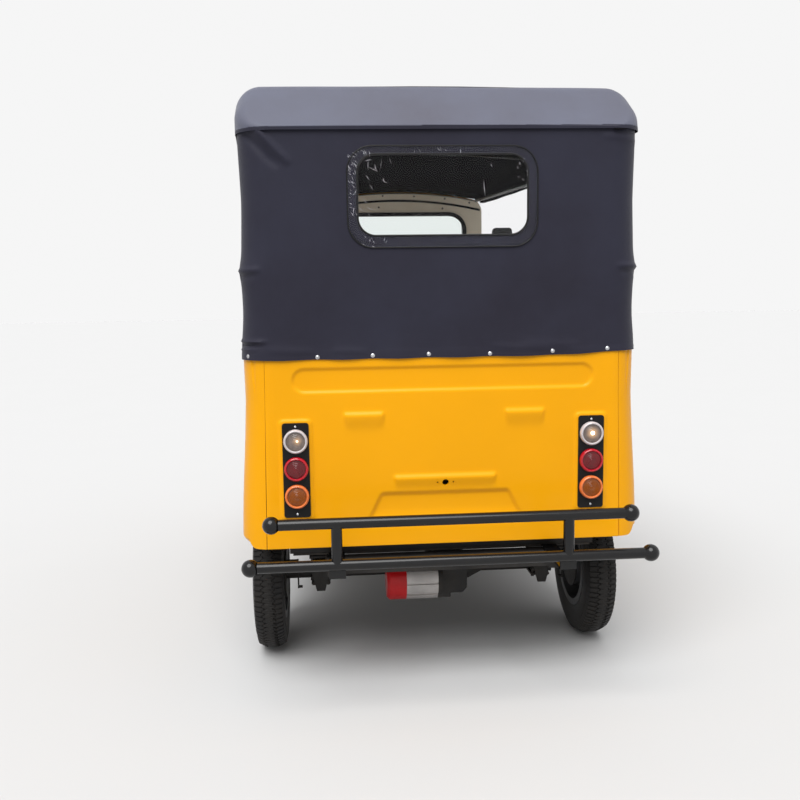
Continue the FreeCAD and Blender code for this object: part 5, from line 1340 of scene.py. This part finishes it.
class RICKSHAW_OT_snaps(bpy.types.Operator):
    """Dull metal snaps that hold the curtain's hem to the body"""

    bl_idname = "rickshaw.snaps"
    bl_label = "Hem snaps"

    def execute(self, context):
        profile = [(0.0, 3.2 * MM), (2.4 * MM, 3.0 * MM), (4.2 * MM, 2.2 * MM), (5.0 * MM, 1.2 * MM),
                   (5.4 * MM, 1.0 * MM), (6.2 * MM, 0.9 * MM), (6.6 * MM, 0.3 * MM), (6.4 * MM, -0.6 * MM),
                   (0.0, -0.6 * MM)]
        snap = spun("snap", profile, (0, 0, 0), (0, 0, 1), 24)
        side, arc, back = curtain_lengths()
        total = 2 * side + 2 * arc + back
        places = []
        for x, height in rear_snaps:
            past = abs(x) - back / 2
            run = total / 2 + x if past < 0 else side + arc - plan_corner * math.asin(past / plan_corner)
            point, normal = curtain_point(run, height)
            places.append(facing(point, normal))
        for distance in side_snaps:
            for run in (side - distance, total - side + distance):
                point, normal = curtain_point(run, hem_line + 12 * MM)
                places.append(facing(point, normal))
        snaps = copies("hem_snaps", snap, places)
        smooth(snaps, 50)
        dress(snaps, "body", ["bright_zinc"])
        return {"FINISHED"}


# Tyres


class RICKSHAW_OT_tyres(bpy.types.Operator):
    """Three tyres with a zigzag tread and shoulder blocks, one pitch modelled and repeated round the axle"""

    bl_idname = "rickshaw.tyres"
    bl_label = "Tyres"

    def execute(self, context):
        for node, body in (("front_tyre", "front_wheel"), ("rear_tyre_left", "rear_wheel_left"),
                           ("rear_tyre_right", "rear_wheel_right")):
            low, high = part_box(node)
            self.tyre(context.scene.rickshaw_tyre, node, body, (low + high) / 2, (high.z - low.z) / 2,
                      (high.x - low.x) / 2)
        return {"FINISHED"}

    def cross_section(self, sizes, radius, half):
        """Columns from bead to bead: x, radius, swing with the zigzag, outer block."""
        bead_radius = 0.152
        belly_radius = (bead_radius + radius) / 2
        crown_half = half - 7 * MM
        shoulder = radius - 14 * MM
        bead = 45 * MM
        rows = []
        for index in range(5):
            rows.append((lerp(-bead + 8 * MM, -bead, index / 4), bead_radius + 0.4 * MM, 0, 0))
        sidewall = [(-bead - 1 * MM, bead_radius + 7 * MM), (-bead - 1.5 * MM, bead_radius + 14 * MM),
                    (-half + 3 * MM, bead_radius + 26 * MM), (-half + 0.6 * MM, belly_radius - 12 * MM),
                    (-half + 0.2 * MM, belly_radius), (-half + 0.9 * MM, belly_radius + 14 * MM),
                    (-half + 1.2 * MM, belly_radius + 15 * MM), (-half + 1.2 * MM, belly_radius + 18 * MM),
                    (-half + 2.6 * MM, belly_radius + 19 * MM), (-half + 4.5 * MM, shoulder - 10 * MM)]
        rows += [(x, r, 0, 0) for x, r in sidewall]

        def crown(x):
            return radius - 14 * MM * (abs(x) / crown_half) ** 2

        groove = 19 * MM
        width = sizes.groove_width
        depth = sizes.groove_depth
        rows += [(-crown_half, shoulder, 0, 1), (-crown_half + 4 * MM, crown(crown_half - 4 * MM), 0, 1),
                 (-groove - width - 6 * MM, crown(groove + width + 6 * MM), 0.2, 1),
                 (-groove - width / 2, crown(groove + width), 1, 1),
                 (-groove - width / 2 + 0.6 * MM, crown(groove) - depth, 1, 0),
                 (-groove + width / 2 - 0.6 * MM, crown(groove) - depth, 1, 0),
                 (-groove + width / 2, crown(groove - width), 1, 2),
                 (-groove + width / 2 + 6 * MM, crown(groove - width / 2 - 6 * MM), 0.3, 2)]
        rows.append((0.0, radius, 0, 3))
        mirrored_rows = [(-x, r, -swing, kind) for x, r, swing, kind in rows[:-1]]
        return rows + mirrored_rows[::-1]

    def tyre(self, sizes, node, body, centre, radius, half):
        columns = self.cross_section(sizes, radius, half)
        steps = 10
        pitch_angle = FULL_TURN / sizes.pitches

        def place(u, v):
            x, reach, swing, kind = columns[round(u * (len(columns) - 1))]
            share = v
            wave = math.sin(FULL_TURN * share)
            sharp = max(-1.0, min(1.0, wave * 1.8))
            x += sizes.zigzag * swing * sharp
            sipe = 0.0
            notch = (share + (0.5 if x > 0 else 0.0)) % 1.0
            if kind == 1 and abs(notch - 0.5) < 0.11:
                sipe = sizes.groove_depth * 0.8
            if kind == 2 and abs(notch - 0.25) < 0.06:
                sipe = sizes.groove_depth * 0.5
            angle = pitch_angle * (share - 0.5)
            reach -= sipe
            return x, reach * math.sin(angle), reach * math.cos(angle)

        piece = sheet_grid(node + "_tread", len(columns) - 1, steps, place)
        turn = bpy.data.objects.new("pitch", None)
        bpy.context.scene.collection.objects.link(turn)
        turn.rotation_euler = (pitch_angle, 0, 0)
        bpy.context.view_layer.update()
        apply_modifier(piece, "ARRAY", count=sizes.pitches, use_relative_offset=False, use_object_offset=True,
                       offset_object=turn, use_merge_vertices=True, use_merge_vertices_cap=True,
                       merge_threshold=0.05 * MM)
        bpy.data.objects.remove(turn)
        piece.location = centre
        settle(piece)
        choose(piece)
        bpy.ops.object.mode_set(mode="EDIT")
        bpy.ops.mesh.select_all(action="SELECT")
        bpy.ops.mesh.remove_doubles(threshold=0.05 * MM)
        bpy.ops.mesh.select_all(action="DESELECT")
        bpy.ops.mesh.select_non_manifold()
        bpy.ops.mesh.bridge_edge_loops()
        bpy.ops.mesh.select_all(action="SELECT")
        bpy.ops.mesh.normals_make_consistent(inside=False)
        bpy.ops.object.mode_set(mode="OBJECT")
        smooth(piece, 34)
        dress(piece, body, ["tyre_rubber"], [node])


# Seats


class RICKSHAW_OT_seats(bpy.types.Operator):
    """Padded vinyl bench, backrests and driver's seat, swollen as cloth and then sewn into channels"""

    bl_idname = "rickshaw.seats"
    bl_label = "Seats"

    def execute(self, context):
        # columns: node, voxel, fill
        for node, voxel, fill in (("passenger_cushion", 13 * MM, 0.8), ("passenger_backrest", 13 * MM, 0.8),
                                  ("driver_cushion", 10 * MM, 0.8), ("driver_backrest", 10 * MM, 0.8)):
            self.cushion(context.scene.rickshaw_seats, node, voxel, fill)
        return {"FINISHED"}

    def cushion(self, sizes, node, voxel, fill):
        low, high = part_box(node)
        piece = node_copy(node, node + "_cover")
        middle = (low + high) / 2
        shrink = 5 * MM
        for vertex in piece.data.vertices:
            for axis in range(3):
                half = (high[axis] - low[axis]) / 2
                vertex.co[axis] = middle[axis] + (vertex.co[axis] - middle[axis]) * (half - shrink) / half
        apply_modifier(piece, "REMESH", mode="VOXEL", voxel_size=voxel)
        self.swell(piece, sizes, low, high)
        self.sew(piece, sizes, node, low, high)
        apply_modifier(piece, "SUBSURF", levels=1, render_levels=1)
        smooth(piece, 60)
        dress(piece, "body", ["seat_vinyl"], [node])

    def swell(self, piece, sizes, low, high):
        """Cloth under a little pressure; a point may move only so far and stays inside the seat's space."""
        rest = [vertex.co.copy() for vertex in piece.data.vertices]
        choose(piece)
        modifier = piece.modifiers.new("Cloth", "CLOTH")
        modifier.settings.use_pressure = True
        modifier.settings.uniform_pressure_force = 4.0
        modifier.settings.effector_weights.gravity = 0.0
        modifier.settings.quality = 4
        scene = bpy.context.scene
        for number in range(1, 21):
            scene.frame_set(number)
        bpy.ops.object.modifier_apply(modifier=modifier.name)
        scene.frame_set(1)
        for vertex, before in zip(piece.data.vertices, rest):
            move = vertex.co - before
            if move.length > sizes.swell:
                move *= sizes.swell / move.length
            point = before + move
            vertex.co = [min(max(point[axis], low[axis] + 0.5 * MM),
                             high[axis] - 0.5 * MM) for axis in range(3)]

    def sew(self, piece, sizes, node, low, high):
        """Sewn channels across the face that is sat on or leaned on."""
        rests = "backrest" in node
        width = high.x - low.x
        count = max(round(width / sizes.channel_pitch), 3)
        pitch = width / count
        for vertex in piece.data.vertices:
            share = ((vertex.co.x - low.x) / pitch) % 1.0
            off = min(share, 1 - share) * pitch
            edge = min(vertex.co.x - low.x, high.x - vertex.co.x)
            groove = sizes.channel_depth * bump(off, 0.011) * smooth_step(0.03, 0.06, edge)
            if rests:
                facing_share = smooth_step(0.35, 0.75, (vertex.co.y - low.y) / (high.y - low.y))
                inside = smooth_step(0.02, 0.06, vertex.co.z - low.z) * smooth_step(0.03, 0.07,
                                                                                    high.z - vertex.co.z)
                vertex.co.y -= groove * facing_share * inside
            else:
                facing_share = smooth_step(0.6, 0.9, (vertex.co.z - low.z) / (high.z - low.z))
                inside = smooth_step(0.02, 0.06, vertex.co.y - low.y) * smooth_step(0.02, 0.06,
                                                                                    high.y - vertex.co.y)
                vertex.co.z -= groove * facing_share * inside


# Lamps


class RICKSHAW_OT_tail_lamps(bpy.types.Operator):
    """Ringed lenses of the tail lamps with their rims, dishes and bulbs, and the plate screws"""

    bl_idname = "rickshaw.tail_lamps"
    bl_label = "Tail lamps"
    rim_width = 8 * MM

    def execute(self, context):
        for colour_name in ("clear", "red", "amber"):
            node = "tail_lenses_" + colour_name
            low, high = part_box(node)
            radius = (high.z - low.z) / 2
            height = (high.z + low.z) / 2
            reach = high.x - radius
            depth = high.y - low.y
            lenses = []
            for side in (-1, 1):
                centre = Vector((side * reach, high.y, height))
                lenses.append(self.lens(centre, radius, depth))
                if colour_name == "clear":
                    self.bulb(side, centre)
            whole = join(lenses, node + "_moulding")
            for face in whole.data.polygons:
                across = math.hypot(abs(face.center.x) - reach, face.center.z - height)
                face.material_index = 1 if across < radius - self.rim_width else 0
            smooth(whole, 30)
            slots = ["rim_" + colour_name, "core_" + colour_name]
            dress(whole, "body", slots, [node])
        self.screws()
        return {"FINISHED"}

    def lens(self, centre, radius, depth):
        """Raised rim round a ringed dish."""
        inner = radius - self.rim_width
        profile = [(0.0, 0.0), (radius, 0.0), (radius, depth * 0.55), (radius - 0.8 * MM, depth * 0.74),
                   (radius - 2.5 * MM, depth * 0.88), (radius - 4.5 * MM, depth * 0.94),
                   (radius - 6.5 * MM, depth * 0.90),
                   (inner, depth * 0.78), (inner - 0.6 * MM, depth * 0.62)]
        rings = 6
        for index in range(1, rings):
            share = index / rings
            height = depth * lerp(0.62, 0.80, math.sin(share * math.pi / 2))
            profile.append((inner * (1 - share) + 0.6 * MM, height - 0.4 * MM))
            profile.append((inner * (1 - share) - 0.6 * MM, height + 0.3 * MM))
        profile.append((0.0, depth * 0.80))
        return spun("lens", profile, centre, (0, -1, 0), 64)

    def bulb(self, side, centre):
        place = bulb_place(side, centre)
        radius = 6.0 * MM if side > 0 else 3.6 * MM
        profile = [(0.0, -2 * MM), (radius * 0.8, -1 * MM), (radius, 0.0), (radius * 0.72, 0.5 * MM),
                   (0.0, 0.8 * MM)]
        glow = spun("tail_bulb_" + ("right" if side > 0 else "left"), profile, place, (0, -1, 0), 24)
        smooth(glow, 60)
        dress(glow, "body", ["bulb_warm" if side > 0 else "bulb_dim"])

    def screws(self):
        template = screw_head("plate_screw", 3.4 * MM, 1.6 * MM)
        places = []
        for side in (-1, 1):
            for z in (plate_low.z + 11 * MM, plate_high.z - 11 * MM):
                places.append(facing(Vector((side * plate_middle, plate_low.y, z)), (0, -1, 0)))
        screws = copies("lamp_plate_screws", template, places)
        smooth(screws, 40)
        dress(screws, "body", ["bright_zinc"])


def bulb_place(side, centre):
    """Where the lit bulb shows on a clear lens."""
    return centre + Vector((1 * MM if side > 0 else 5 * MM, -13.2 * MM, 2 * MM))


def bulb_halos():
    """Places, strengths and reaches of the glow round the two lit bulbs."""
    low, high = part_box("tail_lenses_clear")
    radius = (high.z - low.z) / 2
    found = []
    for side, strength, reach in ((-1, 0.6, 20 * MM), (1, 1.0, 26 * MM)):
        centre = Vector((side * (high.x - radius), high.y, (high.z + low.z) / 2))
        found.append((bulb_place(side, centre), strength, reach))
    return found


def screw_head(name, radius, height):
    """Domed head with a round dimple in its middle."""
    profile = [(0.0, height * 0.55), (radius * 0.16, height * 0.55), (radius * 0.22, height),
               (radius * 0.6, height * 0.9), (radius, height * 0.35), (radius, -height * 0.3),
               (0.0, -height * 0.3)]
    return spun(name, profile, (0, 0, 0), (0, 0, 1), 16)


# Windscreen's head


# Screw holes of the cream strips, columns: place across, height
screen_head_screws = ((-0.374, 1.7252), (-0.226, 1.748), (-0.068, 1.7598), (0.090, 1.7565), (0.247, 1.7453),
                      (0.374, 1.7252), (-0.087, 1.7058), (0.2376, 1.6988))


class RICKSHAW_OT_screen_head(bpy.types.Operator):
    """Near-black joint of the cream strips over the windscreen, and discs painted with the shade inside their
    screw holes
    """

    bl_idname = "rickshaw.screen_head"
    bl_label = "Windscreen head"

    def execute(self, context):
        points = []
        count = 60
        joint_half, joint_crown = 0.43, 1.7365
        for index in range(count + 1):
            x = lerp(-joint_half, joint_half, index / count)
            height = joint_crown - x * x / 4.0
            for drop in (5 * MM, -5 * MM):
                spot, normal = on_liner(x, height + drop)
                points.append(spot + normal * 0.2 * MM)
        faces = [(2 * i, 2 * i + 1, 2 * i + 3, 2 * i + 2) for i in range(count)]
        joint = mesh_piece("screen_head_joint", points, faces=faces)
        if joint.data.polygons[0].normal.y > 0:
            joint.data.flip_normals()
        apply_modifier(joint, "SOLIDIFY", thickness=1.2 * MM, offset=1.0)
        smooth(joint, 40)
        dress(joint, "body", ["painted_hole_shade_and_joint"])
        # Each screw hole is a flat near-black disc, painted as the shade inside the hole.
        profile = [(0.0, 0.9 * MM), (3.6 * MM, 0.8 * MM), (4.4 * MM, 0.2 * MM), (4.4 * MM, -0.8 * MM),
                   (0.0, -0.8 * MM)]
        hole = spun("hole", profile, (0, 0, 0), (0, 0, 1), 16)
        places = []
        for x, height in screen_head_screws:
            spot, normal = on_liner(x, height)
            places.append(facing(spot, normal))
        holes = copies("screen_head_holes", hole, places)
        smooth(holes, 40)
        dress(holes, "body", ["painted_hole_shade_and_joint"])
        return {"FINISHED"}


def on_liner(x, height):
    """Place and direction of the liner's rear face, looked at from behind."""
    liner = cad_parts["windscreen_liner"]
    hit, spot, normal, _ = liner.ray_cast(Vector((x, 0.0, height)), Vector((0, 1, 0)))
    if not hit:
        raise RuntimeError(f"the liner isn't met at {x:.3f}, {height:.3f}")
    return spot, normal if normal.y < 0 else -normal


# Finishes of the nodes that stay as built


node_finishes = {
    "yellow_paint": ("cab_nose", "windscreen_frame", "front_mudguard"),
    "black_enamel": ("rear_bumper", "front_bumper", "canopy_frame", "handlebar", "front_fork"),
    "chassis_black": ("chassis_frame", "rear_axle", "driver_seat_base", "seat_box"),
    "cream_paint": ("windscreen_liner",),
    "motor_red": ("motor_end_cap",),
    "cast_alloy": ("drive_motor",),
    "wheel_steel": ("front_rim", "rear_rim_left", "rear_rim_right"),
    "spring_steel": ("leaf_springs",),
    "moulded_black": ("dashboard", "mirrors", "wiper", "battery_pack", "handlebar_grips", "headlamps"),
    "gasket_rubber": ("windscreen_gasket",),
    "floor_rubber": ("floor_pan",),
    "lamp_plate": ("tail_lamp_plates",),
    "rim_amber": ("front_indicators",),
    "lamp_glass": ("headlamp_lenses",),
    "screen_glass": ("windscreen_glass",),
}


class RICKSHAW_OT_finishes(bpy.types.Operator):
    """Gives each piece that stays as built its own finish"""

    bl_idname = "rickshaw.finishes"
    bl_label = "Finishes"

    def execute(self, context):
        for finish, nodes in node_finishes.items():
            for node in nodes:
                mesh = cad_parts[node].data
                mesh.materials.clear()
                mesh.materials.append(finish_named(finish))
        return {"FINISHED"}


# Stage


def seen_rays(tree):
    """1 for the rays that see the background straight, in a reflection or through glass."""
    path = add_node(tree, "ShaderNodeLightPath").outputs
    seen = maths(tree, "MAXIMUM", path["Is Camera Ray"], path["Is Glossy Ray"])
    return maths(tree, "MAXIMUM", seen, path["Is Transmission Ray"])


class RICKSHAW_OT_stage(bpy.types.Operator):
    """Pale floor, soft lights and the camera"""

    bl_idname = "rickshaw.stage"
    bl_label = "Stage"

    def execute(self, context):
        self.floor(context)
        self.world(context)
        self.lights()
        self.camera(context)
        return {"FINISHED"}

    def floor(self, context):
        bpy.ops.object.select_all(action="DESELECT")
        bpy.ops.mesh.primitive_plane_add(size=80.0, location=(0, 0, 0))
        floor = bpy.context.object
        floor.name = "studio_floor"
        base = tuple(context.scene.rickshaw_colours.floor)
        material, tree, shader = new_material("studio_floor", Roughness=0.9, Specular_IOR_Level=0.0)
        place = add_node(tree, "ShaderNodeTexCoord").outputs["Object"]
        cloud = noise_of(tree, place, 1.5, 3.0)
        tone = blend_colour(tree, cloud, opaque(base), opaque(tuple(value * 0.985 for value in base)))
        duller = blend_colour(tree, 0.45, tone, (0.0, 0.0, 0.0, 1.0))
        feed(tree, shader, Base_Color=blend_colour(tree, seen_rays(tree), duller, tone))
        floor.data.materials.append(material)

    def world(self, context):
        world = bpy.data.worlds.new("studio")
        context.scene.world = world
        world.use_nodes = True
        tree = world.node_tree
        background = tree.nodes["Background"]
        place = add_node(tree, "ShaderNodeTexCoord").outputs["Generated"]
        split = add_node(tree, "ShaderNodeSeparateXYZ")
        feed(tree, split, Vector=place)
        horizon, zenith, seen_level = 0.33, 0.85, 0.92
        sky = spread(tree, split.outputs["Z"], 0.0, 1.0, horizon, zenith)
        raised = maths(tree, "MULTIPLY", seen_rays(tree), maths(tree, "SUBTRACT", seen_level, sky))
        level = maths(tree, "ADD", raised, sky)
        feed(tree, background, Color=(1.0, 1.0, 1.0, 1.0), Strength=level)

    def lights(self):
        """One wide soft light, the same all over the floor, steep from behind the camera's left shoulder."""
        bpy.ops.object.select_all(action="DESELECT")
        bpy.ops.object.light_add(type="SUN", location=(-1.1, -3.0, 5.0))
        light = bpy.context.object
        light.name = "wide_soft_light"
        light.rotation_euler = (-light.location).to_track_quat("-Z", "Y").to_euler()
        light.data.angle = math.radians(46)
        light.data.energy = 2.9

    def camera(self, context):
        sizes = context.scene.rickshaw_view
        yaw = Matrix.Rotation(-sizes.yaw, 3, "Z")
        pitch = Matrix.Rotation(sizes.pitch, 3, "X")
        roll = Matrix.Rotation(sizes.roll, 3, "Y")
        rows = roll @ pitch @ yaw
        right, forward, up = rows[0], rows[1], rows[2]
        turn = Matrix((right, up, -forward)).transposed()
        place = Vector(sizes.place) + Vector((0, panel_plane, 0))
        bpy.ops.object.select_all(action="DESELECT")
        bpy.ops.object.camera_add(location=place, rotation=turn.to_euler())
        camera = bpy.context.object
        camera.data.sensor_width = 36.0
        camera.data.lens = sizes.lens
        camera.data.clip_end = 200.0
        context.scene.camera = camera
        context.scene.view_settings.view_transform = "Standard"


makers = (
    RICKSHAW_OT_finishes,
    RICKSHAW_OT_rear_panel,
    RICKSHAW_OT_body_sides,
    RICKSHAW_OT_roof,
    RICKSHAW_OT_curtain,
    RICKSHAW_OT_rear_window,
    RICKSHAW_OT_snaps,
    RICKSHAW_OT_tail_lamps,
    RICKSHAW_OT_tyres,
    RICKSHAW_OT_seats,
    RICKSHAW_OT_screen_head,
    RICKSHAW_OT_stage,
)


class RICKSHAW_PT_panel(bpy.types.Panel):
    """Lists the steps that dress the rickshaw"""

    bl_idname = "RICKSHAW_PT_panel"
    bl_label = "Auto rickshaw"
    bl_space_type = "VIEW_3D"
    bl_region_type = "UI"
    bl_category = "Rickshaw"

    def draw(self, context):
        for maker in makers:
            self.layout.operator(maker.bl_idname)
        for name in property_groups:
            group = getattr(context.scene, name)
            for key in type(group).__annotations__:
                self.layout.prop(group, key)


property_groups = {
    "rickshaw_colours": RickshawColours,
    "rickshaw_canvas": RickshawCanvas,
    "rickshaw_window": RickshawWindow,
    "rickshaw_tyre": RickshawTyre,
    "rickshaw_seats": RickshawSeats,
    "rickshaw_view": RickshawView,
}


def register():
    for group in property_groups.values():
        bpy.utils.register_class(group)
    for maker in makers:
        bpy.utils.register_class(maker)
    bpy.utils.register_class(RICKSHAW_PT_panel)
    for name, group in property_groups.items():
        setattr(bpy.types.Scene, name, bpy.props.PointerProperty(type=group))


def unregister():
    for name in property_groups:
        delattr(bpy.types.Scene, name)
    bpy.utils.unregister_class(RICKSHAW_PT_panel)
    for maker in reversed(makers):
        bpy.utils.unregister_class(maker)
    for group in property_groups.values():
        bpy.utils.unregister_class(group)


def main():
    register()
    for maker in makers:
        group, step = maker.bl_idname.split(".")
        result = getattr(getattr(bpy.ops, group), step)()
        if "FINISHED" not in result:
            raise RuntimeError(maker.bl_label + " didn't finish")


if __name__ == "__main__":
    main()
